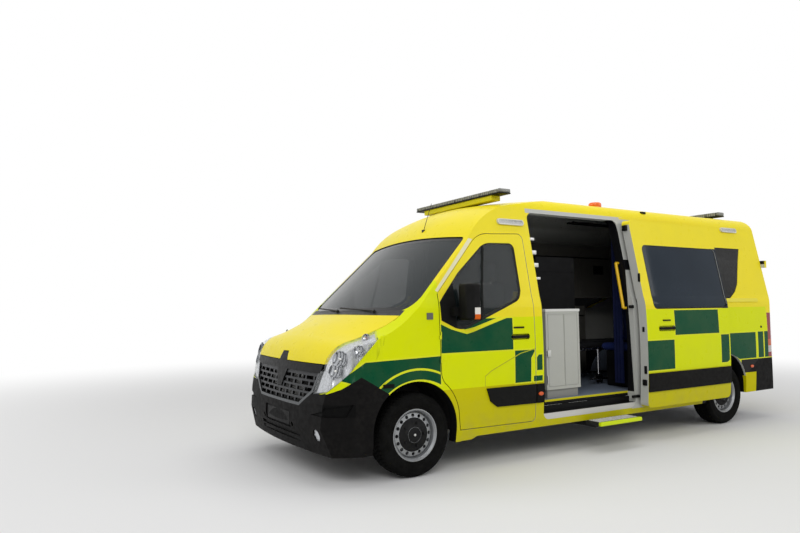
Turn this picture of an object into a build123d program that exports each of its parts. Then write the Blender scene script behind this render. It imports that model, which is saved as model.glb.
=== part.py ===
from build123d import *
import os
from math import cos, radians, sin

os.makedirs("parts", exist_ok=True)

# Overall sizes, in millimetres. A station is a distance behind the front axle,
# y runs to the vehicle's right and z runs up from the ground.
overall_length = 6198
front_overhang = 842
wheelbase = 4332
half_width = 1036
roof_height = 2500
sill_height = 235
body_to_bumper = 46

# Wheels and axles
tyre_radius = 345
tyre_width = 225
rim_radius = 214
front_wheel_y = 865
rear_wheel_y = 865
kingpin_y = 810
hub_bore = 30
bore_clearance = 0.3
knuckle_gap = 0.3
wheel_bolt_count = 16

# Body walls
side_wall = 100
roof_wall = 50
screen_wall = 40
bay_wall = 55
bonnet_wall = 30
rear_door_wall = 70
floor_top = 500
floor_thickness = 50
shut_gap = 6

# Cab and load space stations
firewall_station = 120
firewall_thickness = 40
dash_station = -150
bulkhead_station = 1350
bulkhead_thickness = 35
cab_door_rear = 1290
opening_front = 1395
opening_length = 1295
opening_top = 2312
door_travel = 1325
door_offset = 135
door_bottom = 342
roof_joint = 2352

# Glass
glass_thickness = 8
glass_recess = 6

# Set-back fields in the bumper, grille and rear doors
recess_depth = 12

axle_x = -overall_length / 2 + front_overhang
tail_station = overall_length - front_overhang
body_tail = tail_station - body_to_bumper
rear_door_inner = body_tail - rear_door_wall
opening_rear = opening_front + opening_length
sides = (("left", -1), ("right", 1))


def side_plane(y=0.0):
    return Plane(origin=(axle_x, y, 0), x_dir=(1, 0, 0), z_dir=(0, -1, 0))


def plan_plane(z=0.0):
    return Plane(origin=(axle_x, 0, z))


def cross_plane(station):
    return Plane(origin=(axle_x + station, 0, 0), x_dir=(0, 1, 0), z_dir=(1, 0, 0))


def block(x_0, x_1, y_0, y_1, z_0, z_1, radius=0.0):
    with BuildPart(plan_plane(z_0)) as piece:
        with Locations(((x_0 + x_1) / 2, (y_0 + y_1) / 2)):
            Box(x_1 - x_0, y_1 - y_0, z_1 - z_0, align=(Align.CENTER, Align.CENTER, Align.MIN))
        if radius:
            fillet(piece.edges(), radius)
    return piece.part


def side_prism(points, y_0, y_1):
    """A prism across the vehicle whose outline is drawn in side view."""
    with BuildPart() as prism:
        with BuildSketch(side_plane(y_1)):
            with BuildLine():
                Polyline(*points, close=True)
            make_face()
        extrude(amount=y_1 - y_0)
    return prism.part


def plan_prism(points, z_0, z_1):
    with BuildPart() as prism:
        with BuildSketch(plan_plane(z_0)):
            with BuildLine():
                Polyline(*points, close=True)
            make_face()
        extrude(amount=z_1 - z_0)
    return prism.part


def cross_prism(points, x_0, x_1):
    with BuildPart() as prism:
        with BuildSketch(cross_plane(x_0)):
            with BuildLine():
                Polyline(*points, close=True)
            make_face()
        extrude(amount=x_1 - x_0)
    return prism.part


def rod(start, end, radius):
    """A round bar between two (station, y, z) points."""
    a = Vector(axle_x + start[0], start[1], start[2])
    b = Vector(axle_x + end[0], end[1], end[2])
    with BuildPart(Plane(origin=a, z_dir=b - a)) as bar:
        Cylinder(radius, (b - a).length, align=(Align.CENTER, Align.CENTER, Align.MIN))
    return bar.part


def rounded_prism_across(x_0, x_1, y_0, y_1, z_0, z_1, radius):
    """A prism along the vehicle whose rounded outline is drawn in cross view."""
    with BuildPart() as prism:
        with BuildSketch(cross_plane(x_0)):
            with Locations(((y_0 + y_1) / 2, (z_0 + z_1) / 2)):
                RectangleRounded(y_1 - y_0, z_1 - z_0, radius)
        extrude(amount=x_1 - x_0)
    return prism.part


def largest(part, count):
    """The main solids of a trimmed panel, without the shavings beside them."""
    return Part() + part.solids().sort_by(SortBy.VOLUME)[-count:]


def save(name, part):
    part.label = name
    export_step(part, f"parts/{name}.step")


# Outer form of the van: the side outline curves back across the width,
# and it is trimmed by the cross section and by the plan outline.
outline_half = 850


def side_section(y, rear):
    share = (y / outline_half) ** 2

    def point(station, height, back, rise):
        return (station + back * share, height + rise * share)

    bottom = point(52 - front_overhang, sill_height, 60, 0)
    bumper_low = point(-front_overhang, 450, 52, 0)
    bumper_high = point(-front_overhang + 10, 640, 55, 0)
    grille_top = point(-front_overhang + 64, 940, 62, 0)
    lead = point(-712, 1080, 70, -15)
    bonnet_front = point(-600, 1168, 80, -40)
    bonnet_mid = point(-420, 1265, 95, -60)
    screen_low = point(-215, 1350, 118, -2)
    screen_high = point(575, 2080, 58, -50)
    lead_low = point(790, 2285, 95, -25)
    lead_mid = point(1100, 2425, 85, -55)
    lead_high = point(1450, 2484, 80, -62)
    roof_front = point(1900, roof_height + 20, 60, -40)
    roof_rear = point(rear - 115, roof_height + 20, 0, -40)
    tail_high = point(rear - 40, roof_height - 60, 0, -30)
    tail_round = point(rear - 12, roof_height - 190, 0, 0)
    with BuildSketch(side_plane(y)) as section:
        with BuildLine():
            Polyline(bottom, bumper_low, bumper_high, grille_top)
            ThreePointArc(grille_top, lead, bonnet_front)
            ThreePointArc(bonnet_front, bonnet_mid, screen_low)
            Line(screen_low, screen_high)
            ThreePointArc(screen_high, lead_low, lead_mid)
            ThreePointArc(lead_mid, lead_high, roof_front)
            Line(roof_front, roof_rear)
            ThreePointArc(roof_rear, tail_high, tail_round)
            Polyline(tail_round, (rear, 1300), (rear, sill_height), bottom)
        make_face()
    return section.sketch


def cross_form(inset, drop):
    with BuildPart() as form:
        with BuildSketch(cross_plane(-front_overhang - 200)):
            with BuildLine():
                low = (half_width - 51 - inset, 200)
                sill = (half_width - 24 - inset, 350)
                belt = (half_width - 12 - inset, 1390)
                shoulder = (half_width - 36 - inset, 1490)
                eave = (half_width - 200 - inset, 2327 - drop)
                roll = (half_width - 301 - inset, 2466 - drop)
                Polyline((0, 200), low, sill)
                ThreePointArc(sill, (half_width - inset, 900), belt)
                ThreePointArc(belt, (half_width - 21 - inset, 1440), shoulder)
                Line(shoulder, eave)
                ThreePointArc(eave, (half_width - 233 - inset, 2413 - drop), roll)
                ThreePointArc(roll, (380, 2491 - drop), (0, roof_height - drop))
                mirror(about=Plane.YZ)
            make_face()
        extrude(amount=overall_length + 600)
    return form.part


def plan_form(inset):
    rear = body_tail + 3 * inset
    with BuildPart() as form:
        with BuildSketch(plan_plane(100)):
            with BuildLine():
                Line((-900 + inset, 0), (-900 + inset, 620 - inset))
                ThreePointArc((-900 + inset, 620 - inset), (-700 + inset, 905 - inset), (-330, 1005 - inset))
                Polyline((-330, 1005 - inset), (300, half_width - inset), (rear - 70, half_width - inset))
                ThreePointArc((rear - 70, half_width - inset), (rear - 10, half_width - 26 - inset),
                              (rear + 20, half_width - 86 - inset))
                Line((rear + 20, half_width - 86 - inset), (rear + 20, 0))
                mirror(about=Plane.XZ)
            make_face()
        extrude(amount=2700)
    return form.part


section_places = (-1100, -700, 0, 700, 1100)
outer_sections = [side_section(y, body_tail) for y in section_places]
inner_sections = [side_section(y, body_tail + 300) for y in section_places]
with BuildPart() as side_form:
    loft(sections=outer_sections)
with BuildPart() as inner_side_form:
    loft(sections=inner_sections)


def van_form(back=0.0, down=0.0, inset=0.0):
    """The body's outer form, or one that lies inside it and is open at the tail."""
    cross = cross_form(inset, down)
    plan = plan_form(inset)
    side = inner_side_form.part if inset else side_form.part
    with BuildPart() as form:
        add(side.moved(Location((back, 0, -down))))
        add(cross, mode=Mode.INTERSECT)
        add(plan, mode=Mode.INTERSECT)
    return form.part


outer = van_form()
cabin_form = van_form(screen_wall, roof_wall, side_wall)
bay_form = van_form(25, bonnet_wall, bay_wall)
recess_form = van_form(recess_depth, 0, recess_depth)
glass_outer = van_form(glass_recess, glass_recess, glass_recess)
glass_inner = van_form(glass_recess + glass_thickness, glass_recess + glass_thickness,
                       glass_recess + glass_thickness)

wide = half_width + 300
cabin_zone = side_prism(
    [(firewall_station, 100), (firewall_station, 1120), (dash_station, 1235), (dash_station, 2700),
     (body_tail + 100, 2700), (body_tail + 100, 100)], -wide, wide)
bay_zone = side_prism(
    [(-1100, 100), (-1100, 1290), (-250, 1290), (-190, 1195), (firewall_station - firewall_thickness, 1080),
     (firewall_station - firewall_thickness, 100)], -wide, wide)

bay_void = bay_form & bay_zone

# The skin holds every outer panel; the divider parts the engine bay from the cab
with BuildPart() as skin_part:
    add(outer)
    add(cabin_form, mode=Mode.SUBTRACT)
    add(bay_void, mode=Mode.SUBTRACT)
skin = skin_part.part

with BuildPart() as divider_part:
    add(cabin_form)
    add(cabin_zone, mode=Mode.SUBTRACT)
    add(bay_void, mode=Mode.SUBTRACT)
divider = divider_part.part

with BuildPart() as glazing_skin:
    add(glass_outer)
    add(glass_inner, mode=Mode.SUBTRACT)
glass_skin = glazing_skin.part


# Wheel arches
front_arch_station = -15
front_arch_z = 385
front_arch_radius = 405
rear_arch_z = 440
rear_arch_radius = 372
front_housing_radius = 432
rear_housing_radius = 408
front_housing_y = 540
rear_housing_y = 690


def arch_cut(station, height, radius, y_0, y_1):
    """A wheel opening: a round top that runs straight down to the ground."""
    with BuildPart() as cut:
        with BuildSketch(side_plane(y_1)):
            with BuildLine():
                Line((station - radius, height), (station - radius, 0))
                Line((station - radius, 0), (station + radius, 0))
                Line((station + radius, 0), (station + radius, height))
                ThreePointArc((station + radius, height), (station, height + radius), (station - radius, height))
            make_face()
        extrude(amount=y_1 - y_0)
    return cut.part


arch_cuts = [arch_cut(front_arch_station, front_arch_z, front_arch_radius, -wide, -front_housing_y),
             arch_cut(front_arch_station, front_arch_z, front_arch_radius, front_housing_y, wide),
             arch_cut(wheelbase, rear_arch_z, rear_arch_radius, -wide, -rear_housing_y),
             arch_cut(wheelbase, rear_arch_z, rear_arch_radius, rear_housing_y, wide)]


# Cab door, drawn in side view, with its window
def cab_door_prism(grow, y_0, y_1):
    with BuildPart() as prism:
        with BuildSketch(side_plane(y_1)):
            with BuildLine():
                Line((431, door_bottom + 8), (412, 520))
                ThreePointArc((412, 520), (365, 643), (262, 762))
                ThreePointArc((262, 762), (238, 805), (230, 860))
                Polyline((230, 860), (217, 1275), (222, 1515), (665, 1977))
                ThreePointArc((665, 1977), (762, 2047), (905, 2070))
                Line((905, 2070), (cab_door_rear - 60, 2086))
                ThreePointArc((cab_door_rear - 60, 2086), (cab_door_rear - 15, 2066), (cab_door_rear, 2020))
                Line((cab_door_rear, 2020), (cab_door_rear, door_bottom + 48))
                ThreePointArc((cab_door_rear, door_bottom + 48), (cab_door_rear - 14, door_bottom + 14),
                              (cab_door_rear - 48, door_bottom))
                Line((cab_door_rear - 48, door_bottom), (431, door_bottom + 8))
            make_face()
            if grow:
                offset(amount=grow)
        extrude(amount=y_1 - y_0)
    return prism.part


def cab_window_prism(grow, y_0, y_1):
    with BuildPart() as prism:
        with BuildSketch(side_plane(y_1)):
            with BuildLine():
                Polyline((236, 1285), (228, 1440), (467, 1700))
                Line((467, 1700), (735, 1925))
                ThreePointArc((735, 1925), (795, 1965), (880, 1986))
                Line((880, 1986), (1105, 1992))
                ThreePointArc((1105, 1992), (1150, 1975), (1168, 1930))
                Line((1168, 1930), (1168, 1560))
                ThreePointArc((1168, 1560), (1145, 1485), (1080, 1437))
                Line((1080, 1437), (530, 1222))
                ThreePointArc((530, 1222), (450, 1207), (380, 1219))
                Line((380, 1219), (236, 1285))
            make_face()
            if grow:
                offset(amount=grow)
        extrude(amount=y_1 - y_0)
    return prism.part


def rounded_prism(x_0, x_1, z_0, z_1, radius, y_0, y_1):
    """A round-cornered rectangle in side view, run across the vehicle."""
    with BuildPart() as prism:
        with BuildSketch(side_plane(y_1)):
            with Locations(((x_0 + x_1) / 2, (z_0 + z_1) / 2)):
                RectangleRounded(x_1 - x_0, z_1 - z_0, radius)
        extrude(amount=y_1 - y_0)
    return prism.part


# Body zones: which part of the shell each panel takes
front_zone_top = 1352
cab_door_cut = cab_door_prism(shut_gap, -wide, wide)
roof_zone = side_prism(
    [(300, 2030), (640, 2038), (712, 2096), (1330, roof_joint), (body_tail + 50, roof_joint),
     (body_tail + 50, 2700), (300, 2700)], -wide, wide)
front_zone = side_prism(
    [(-1200, 100), (366, 100), (366, 246), (445, 246), (445, 560), (330, 760), (300, 860), (300, 1450),
     (222, 1524), (-140, 1362), (-215, front_zone_top), (-1200, front_zone_top)], -wide, wide) - cab_door_cut
bumper_zone = side_prism(
    [(-1200, 100), (-320, 100), (-320, 560), (-272, 706), (-532, 863), (-800, 700), (-1200, 700)], -wide, wide)
screen_base_z = 1376
scuttle_base_z = 1290
bonnet_front_z = 952
bonnet_rear_middle = -236
bonnet_sides = ((-1200, 765), (-715, 765), (-600, 800), (-321, 852), (-211, 884), (-96, 905))
bonnet_peak = ((-92, 930), (-56, 1022), (56, 1022), (92, 930))


def bonnet_prism(grow, z_0, z_1):
    """The plan of the bonnet, which all its neighbours keep clear of; its rear edge is bowed."""
    right = [(x, y + grow) for x, y in bonnet_sides[:-1]] + [(bonnet_sides[-1][0] + grow, bonnet_sides[-1][1] + grow)]
    left = [(x, -y) for x, y in right]
    with BuildPart() as prism:
        with BuildSketch(plan_plane(z_0)):
            with BuildLine():
                Polyline(*left[::-1], *right)
                ThreePointArc(right[-1], (bonnet_rear_middle + grow, 0), left[-1])
            make_face()
        extrude(amount=z_1 - z_0)
    return prism.part


def headlamp_prism(side):
    """Swept lamp: its outline in side view, outboard of the bonnet and the grille."""
    outline = [(-900, 712), (-790, 712), (-660, 765), (-520, 850), (-400, 965), (-318, 1100), (-300, 1185),
               (-316, 1232), (-470, 1300), (-900, 1300)]
    inner = [(-200, side * 892), (-321, side * 856), (-600, side * 804), (-715, side * 756),
             (-790, side * 655), (-1200, side * 655), (-1200, side * 1300), (-200, side * 1300)]
    return (side_prism(outline, -wide, wide) & plan_prism(inner, 600, 1350)) - bonnet_prism(0, 900, 1400)


with BuildPart() as screen_prism:
    with BuildSketch(cross_plane(-400)):
        with BuildLine():
            Line((0, screen_base_z), (868, screen_base_z))
            ThreePointArc((868, screen_base_z), (928, 1412), (952, 1500))
            Line((952, 1500), (856, 1990))
            ThreePointArc((856, 1990), (838, 2026), (800, 2040))
            ThreePointArc((800, 2040), (420, 2067), (0, 2077))
            mirror(about=Plane.YZ)
        make_face()
    extrude(amount=1200)
screen_cut = screen_prism.part

grille_outline = ((-742, 946), (742, 946), (655, 724), (450, 600), (-450, 600), (-655, 724))
grille_zone = cross_prism(grille_outline, -1100, -600) + cross_prism(bonnet_peak, -1100, -600)
headlamp_zones = {name: headlamp_prism(side) for name, side in sides}
halves = {"left": block(-1300, 6200, -wide, 0, 0, 2800), "right": block(-1300, 6200, 0, wide, 0, 2800)}
bonnet_zone = bonnet_prism(0, 600, 1500)
scuttle_zone = block(-400, 60, -905, 905, scuttle_base_z, screen_base_z) - bonnet_zone
gutter_half = 860
cowl_zone = (block(-96, 60, -905, 905, 1150, scuttle_base_z)
             + (block(-260, -96, -gutter_half, gutter_half, 1150, scuttle_base_z) - bonnet_zone))
bonnet_shell = outer - bay_form

# Bumper beam behind the front bumper, with its towing eye hole
beam_station = -760
beam_depth = 60
beam_z = 430
beam_height = 90
tow_eye_y = 330
tow_eye_radius = 10

# Tail lamps sit in the rear corners
lamp_station = 5186
lamp_base = 741
lamp_top = 1287
lamp_zones = [block(lamp_station, body_tail + 50, y_0, y_1, lamp_base, lamp_top)
              for y_0, y_1 in ((half_width - 62, wide), (-wide, 62 - half_width))]

# The rear bumper wraps the corners
bumper_front = wheelbase + 300
bumper_top = 724
rear_bumper_zone = side_prism(
    [(bumper_front, 300), (bumper_front, 500), (bumper_front + 330, bumper_top), (body_tail + 100, bumper_top),
     (body_tail + 100, 300)], -wide, wide)

# The underside of the sills steps up behind the cab
sill_cut = side_prism(
    [(366, 100), (366, 248), (560, 252), (620, 276), (3900, 276), (3960, 335), (body_tail + 100, 340),
     (body_tail + 100, 100)], -wide, wide)

rear_window_points = [(2900, 1372), (4225, 1372), (4335, 1426), (4460, 1458), (4603, 1543), (4690, 1640),
                      (4768, 1816), (4834, 1957), (4900, 2083), (2900, 2083)]
opening_cut = rounded_prism(opening_front, opening_rear, door_bottom - 4, opening_top, 70, -wide, -500)
rear_window_cut = side_prism(rear_window_points, -wide, wide)
mid_window_cut = rounded_prism(1480, 2640, 1372, 2083, 60, 500, wide)

# Cab door hinges: a body half below a door half on one upright axis at the shut line
cab_hinge_station = 228
cab_hinge_y = half_width + 1
cab_hinge_heights = (960, 1160)
cab_hinge_radius = 6
cab_hinge_half = 32

# Rear door hinges stand behind the corners, so that the doors fold back along the sides
rear_hinge_station = body_tail + 30
rear_hinge_y = 962
rear_hinge_heights = (790, 1400, 1900)
rear_hinge_radius = 11
rear_hinge_half = 45


def hinge_half(station, y, height, length, radius, leaf):
    """One half of a hinge: its barrel and the leaf block that carries it."""
    with BuildPart() as half:
        add(rod((station, y, height), (station, y, height + length), radius))
        add(leaf)
    return half.part


def cab_hinge(side, height, direction):
    """The body's leaf runs forward of the axis and the door's runs behind it."""
    y = side * cab_hinge_y
    leaf_y = sorted((y, y - side * cab_hinge_radius))
    leaf_x = sorted((cab_hinge_station, cab_hinge_station + direction * 20))
    base = height if direction > 0 else height - cab_hinge_half - knuckle_gap
    leaf = block(*leaf_x, *leaf_y, base, base + cab_hinge_half)
    return hinge_half(cab_hinge_station, y, base, cab_hinge_half, cab_hinge_radius, leaf)


def rear_hinge(side, height, on_door):
    """The leaves reach in to the pillar and the door, which lean in above the shoulder."""
    y = side * rear_hinge_y
    lean = 164 / 837 * max(0, height - 1490)
    pillar_y = side * (half_width - side_wall + 2 * shut_gap - lean)
    door_y = side * (half_width - side_wall - shut_gap - 20 - lean)
    base = height if on_door else height - rear_hinge_half - knuckle_gap
    top = base + rear_hinge_half
    if on_door:
        leaf = block(body_tail + shut_gap, rear_hinge_station, *sorted((y, door_y - side * 60)), base, top)
        foot = block(body_tail - 4, rear_hinge_station, *sorted((door_y, door_y - side * 60)), base, top)
        leaf = leaf + foot
    else:
        leaf = block(body_tail - 10, rear_hinge_station, *sorted((pillar_y, y + side * 11)), base, top)
    return hinge_half(rear_hinge_station, y, base, rear_hinge_half, rear_hinge_radius, leaf)


side_panels = {}
for name, side in sides:
    with BuildPart() as side_panel:
        add(skin)
        add(halves[name], mode=Mode.INTERSECT)
        for cut in (roof_zone, front_zone, screen_cut, scuttle_zone, cowl_zone, sill_cut, cab_door_cut,
                    rear_window_cut, rear_bumper_zone, *arch_cuts, *lamp_zones):
            add(cut, mode=Mode.SUBTRACT)
        add(opening_cut if side < 0 else mid_window_cut, mode=Mode.SUBTRACT)
        for height in rear_hinge_heights:
            add(rear_hinge(side, height, False))
    side_panels[name] = largest(side_panel.part, 1)
    save(f"side_{name}", side_panels[name])

with BuildPart() as roof:
    add(skin)
    add(roof_zone, mode=Mode.INTERSECT)
    add(screen_cut, mode=Mode.SUBTRACT)
save("roof", roof.part)

with BuildPart() as front_wings:
    add(skin)
    add(front_zone, mode=Mode.INTERSECT)
    for cut in (bumper_zone, grille_zone, scuttle_zone, cowl_zone, screen_cut, bonnet_zone,
                *headlamp_zones.values(), *arch_cuts):
        add(cut, mode=Mode.SUBTRACT)
    for name, side in sides:
        for height in cab_hinge_heights:
            add(cab_hinge(side, height, -1))
save("front_wings", largest(front_wings.part, 2))

# Front bumper: intake slots, round fog lamps, and set-back fields for the plate and at each side
intake_heights = (300, 346)
intake_height = 30
intake_half = 440
fog_lamp_y = 735
fog_lamp_z = 392
fog_lamp_radius = 48
fog_lamp_rods = [rod((-front_overhang - 50, side * fog_lamp_y, fog_lamp_z), (-640, side * fog_lamp_y, fog_lamp_z),
                     fog_lamp_radius) for name, side in sides]
side_field = side_prism([(-805, 548), (-770, 618), (-574, 644), (-630, 540)], -wide, wide)
bumper_fields = [block(-front_overhang - 50, -700, -290, 290, 398, 540),
                 side_field & block(-900, -500, -wide, -660, 500, 700),
                 side_field & block(-900, -500, 660, wide, 500, 700)]
with BuildPart() as front_bumper:
    add(skin)
    add(bumper_zone, mode=Mode.INTERSECT)
    for cut in (grille_zone, *headlamp_zones.values(), *arch_cuts):
        add(cut, mode=Mode.SUBTRACT)
    for y in (-tow_eye_y, tow_eye_y):
        add(rod((-front_overhang - 50, y, beam_z), (beam_station, y, beam_z), 2 * tow_eye_radius),
            mode=Mode.SUBTRACT)
    for height in intake_heights:
        add(block(-front_overhang - 50, -700, -intake_half, intake_half, height, height + intake_height),
            mode=Mode.SUBTRACT)
    for fog_lamp in fog_lamp_rods:
        add(fog_lamp, mode=Mode.SUBTRACT)
    for field in bumper_fields:
        add(field - recess_form, mode=Mode.SUBTRACT)
save("front_bumper", largest(front_bumper.part, 1))

# Grille: a black panel with a bright edge; the field inside it is set back round a plain boss
# and cut by rows of slots, each row shifted by half a slot
grille_edge = 24
grille_field_top = 876
boss_outline = ((-135, 900), (135, 900), (74, 800), (40, 728), (-40, 728), (-74, 800))
slot_rows = (640, 688, 736, 784, 832)
slot_height = 30
slot_pitch = 138
slot_bar = 24
slot_columns = 11
with BuildPart() as field_prism:
    with BuildSketch(cross_plane(-1100)):
        with BuildLine():
            Polyline(*grille_outline, close=True)
        make_face()
        offset(amount=-grille_edge)
        with Locations((0, grille_field_top + 100)):
            Rectangle(2 * wide, 200, mode=Mode.SUBTRACT)
        with BuildLine():
            Polyline(*boss_outline, close=True)
        make_face(mode=Mode.SUBTRACT)
    extrude(amount=500)
with BuildPart() as slot_prism:
    with BuildSketch(cross_plane(-1100)):
        for row, height in enumerate(slot_rows):
            with Locations((row % 2 * slot_pitch / 2, height)):
                with GridLocations(slot_pitch, 1, slot_columns, 1):
                    Rectangle(slot_pitch - slot_bar, slot_height)
    extrude(amount=500)
with BuildPart() as grille:
    add(skin)
    add(grille_zone, mode=Mode.INTERSECT)
    add(field_prism.part - recess_form, mode=Mode.SUBTRACT)
    add(field_prism.part & slot_prism.part, mode=Mode.SUBTRACT)
save("grille", largest(grille.part, 1))

# Headlamps: a clear cover over a housing with three reflector bowls; fog lamps fill the bumper's holes
bowl_depth = 30
bowls = (   # station, y and z of the rim's centre on the cover, radius
    (-705, 903, 910, 60),
    (-675, 918, 1003, 64),
    (-537, 985, 1064, 44),
    (-415, 870, 1160, 32))
with BuildPart() as headlamps:
    for name, side in sides:
        zone = headlamp_zones[name] - grille_zone
        housing_part = (skin & zone) & glass_inner
        for x, y, z, radius in bowls:
            floor_place = (x + 0.76 * bowl_depth, side * (y - 0.6 * bowl_depth), z - 0.24 * bowl_depth)
            front_place = (x - 76, side * (y + 60), z + 24)
            housing_part -= rod(floor_place, front_place, radius)
        add(largest((outer & zone) - glass_outer, 1))
        add(largest(housing_part, 1))
    for fog_lamp in fog_lamp_rods:
        add(largest(skin & fog_lamp & recess_form, 1))
save("headlamps", headlamps.part)

with BuildPart() as bonnet:
    add(bonnet_shell)
    add(bonnet_prism(-shut_gap, bonnet_front_z, 1500), mode=Mode.INTERSECT)
    with BuildSketch(cross_plane(-1100)):
        with BuildLine():
            Polyline(*bonnet_peak, close=True)
        make_face()
        offset(amount=shut_gap, kind=Kind.INTERSECTION)
    extrude(amount=500, mode=Mode.SUBTRACT)
save("bonnet", largest(bonnet.part, 1))

with BuildPart() as scuttle:
    add(skin)
    add(scuttle_zone, mode=Mode.INTERSECT)
save("scuttle", largest(scuttle.part, 1))

with BuildPart() as windscreen:
    add(glass_skin)
    add(screen_cut, mode=Mode.INTERSECT)
save("windscreen", windscreen.part)

with BuildPart() as side_glass:
    add(glass_skin & rear_window_cut)
    add(glass_skin & mid_window_cut)
save("side_glass", side_glass.part)


# Cab doors, each with its glass, and the pieces on it
mirror_reach = 1235
handle_z = 1121
handle_front = 1012
handle_length = 206
pocket_depth = 22
strip_low = 505
strip_high = 680
strip_depth = 14

cab_door_outline = cab_door_prism(0, -wide, wide)
cab_window_cut = cab_window_prism(0, -wide, wide)
for name, side in sides:
    handle_pocket = rounded_prism(handle_front - 7, handle_front + handle_length + 7, handle_z - 26, handle_z + 26,
                                  20, *sorted((side * (half_width - pocket_depth), side * wide)))
    with BuildPart() as cab_door:
        add(skin)
        add(halves[name], mode=Mode.INTERSECT)
        add(cab_door_outline, mode=Mode.INTERSECT)
        add(cab_window_cut, mode=Mode.SUBTRACT)
        add(handle_pocket, mode=Mode.SUBTRACT)
        add(arch_cuts[0 if side < 0 else 1], mode=Mode.SUBTRACT)
        for height in cab_hinge_heights:
            add(block(cab_hinge_station - 40, cab_hinge_station + cab_hinge_radius + 2,
                      *sorted((side * (cab_hinge_y - 8), side * wide)),
                      height - cab_hinge_half - 2, height), mode=Mode.SUBTRACT)
            add(cab_hinge(side, height, 1))
    save(f"cab_door_{name}", cab_door.part)

    with BuildPart() as cab_glass:
        add(glass_skin & halves[name] & cab_window_cut)
    save(f"cab_glass_{name}", cab_glass.part)

# Door furniture: mirror, handle and rub strip ride on the cab door
def strip_prism(x_0, x_1, nose):
    """A rub strip in side view, its front end drawn back to a point at the top."""
    return side_prism([(x_0, strip_high), (x_0 + 0.35 * nose, strip_low + 60), (x_0 + nose, strip_low + 6),
                       (x_1, strip_low), (x_1, strip_high)], -wide, wide)


def strip_on(side_form_part, prism, side, depth):
    """A strip of even depth laid on the outer form of one side."""
    grown = cross_form(-depth, 0)
    return (grown & prism & halves[side]) - side_form_part


outer_section = cross_form(0, 0)
cab_strip = strip_prism(706, cab_door_rear - 4, 120)
mirror_front = 376
mirror_rear = 495
mirror_low = 1287
mirror_top = 1597
mirror_glass_depth = 10


def mirror_head(side):
    """A mirror housing with a rounded front and a set-back rear face that carries the glass."""
    y_0, y_1 = sorted((side * (half_width + 16), side * mirror_reach))
    with BuildPart() as head:
        add(block(mirror_front, mirror_rear, y_0, y_1, mirror_low, mirror_top))
        fillet(head.edges().filter_by(Axis.Z).group_by(Axis.X)[0], 62)
        fillet(head.edges().filter_by(Axis.Z, reverse=True).filter_by(Axis.Y, reverse=True), 26)
        add(rounded_prism_across(mirror_rear - mirror_glass_depth, mirror_rear + 5, y_0 + 14, y_1 - 14,
                                 mirror_low + 16, mirror_top - 16, 24), mode=Mode.SUBTRACT)
    return head.part


sail_form = cross_form(-4, 0)
glass_form = cross_form(glass_recess, 0)
window_bar = cab_window_cut & side_prism([(656, 1280), (676, 1280), (810, 2000), (790, 2000)], -wide, wide)
oblong_front = 1036
oblong_length = 122
sail_prism = cab_window_cut & side_prism([(200, 1150), (200, 1700), (392, 1700), (392, 1150)], -wide, wide)
for name, side in sides:
    arm_y = sorted((side * (half_width - 70), side * (half_width + 60)))
    with BuildPart() as door_trim:
        add(mirror_head(side))
        add(block(mirror_front - 50, mirror_front + 54, *arm_y, mirror_low + 36, mirror_low + 110) - sail_form)
        add((outer_section - glass_form) & halves[name] & window_bar)
        add(block(oblong_front, oblong_front + oblong_length, *sorted((side * (half_width - 10), side * (half_width + 3))),
                  handle_z + 78, handle_z + 92) - outer_section)
        add((sail_form - glass_form) & halves[name] & sail_prism)
        add(strip_on(outer_section, cab_strip, name, strip_depth))
        add(block(handle_front, handle_front + handle_length,
                  *sorted((side * (half_width - 10), side * (half_width + 8))), handle_z - 13, handle_z + 13))
        for x in (handle_front, handle_front + handle_length - 24):
            add(block(x, x + 24, *sorted((side * (half_width - pocket_depth), side * half_width)),
                      handle_z - 13, handle_z + 13))
    save(f"door_trim_{name}", door_trim.part)

# Bonnet pivot: the axis stands above the scuttle, as its four-bar hinge turns it
bonnet_pivot_station = 50
bonnet_pivot_z = 1400

# Floor with the rear wheel housings
cabin_base = floor_top - floor_thickness


def housing(station, height, radius, wall, y_0, y_1, base):
    """A round wheel housing, closed on its inner side, open below the base height."""
    inner, outer_y = (y_0, y_1) if y_0 > 0 else (y_1, y_0)
    shell_y = sorted((inner, outer_y))
    hollow_y = sorted((inner + (wall if inner > 0 else -wall), outer_y))
    body = arch_cut(station, height, radius + wall, *shell_y)
    hollow = arch_cut(station, height, radius, *hollow_y)
    below = block(station - 900, station + 900, -wide, wide, -50, base)
    with BuildPart() as piece:
        add(body)
        add(hollow, mode=Mode.SUBTRACT)
        add(below, mode=Mode.SUBTRACT)
    return piece.part


housing_wall = 8
housing_gap = 2
rear_housing_z = 400
rear_housings = [housing(wheelbase, rear_housing_z, rear_housing_radius, housing_wall, y_0, y_1, cabin_base)
                 for y_0, y_1 in ((rear_housing_y - housing_wall, 960), (-960, housing_wall - rear_housing_y))]
rear_hollows = [arch_cut(wheelbase, rear_housing_z, rear_housing_radius, y_0, y_1)
                for y_0, y_1 in ((rear_housing_y, wide), (-wide, -rear_housing_y))]
front_hollows = [arch_cut(front_arch_station, front_arch_z - 10, front_housing_radius + housing_wall, y_0, y_1)
                 for y_0, y_1 in ((front_housing_y - housing_wall, wide), (-wide, housing_wall - front_housing_y))]

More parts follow.
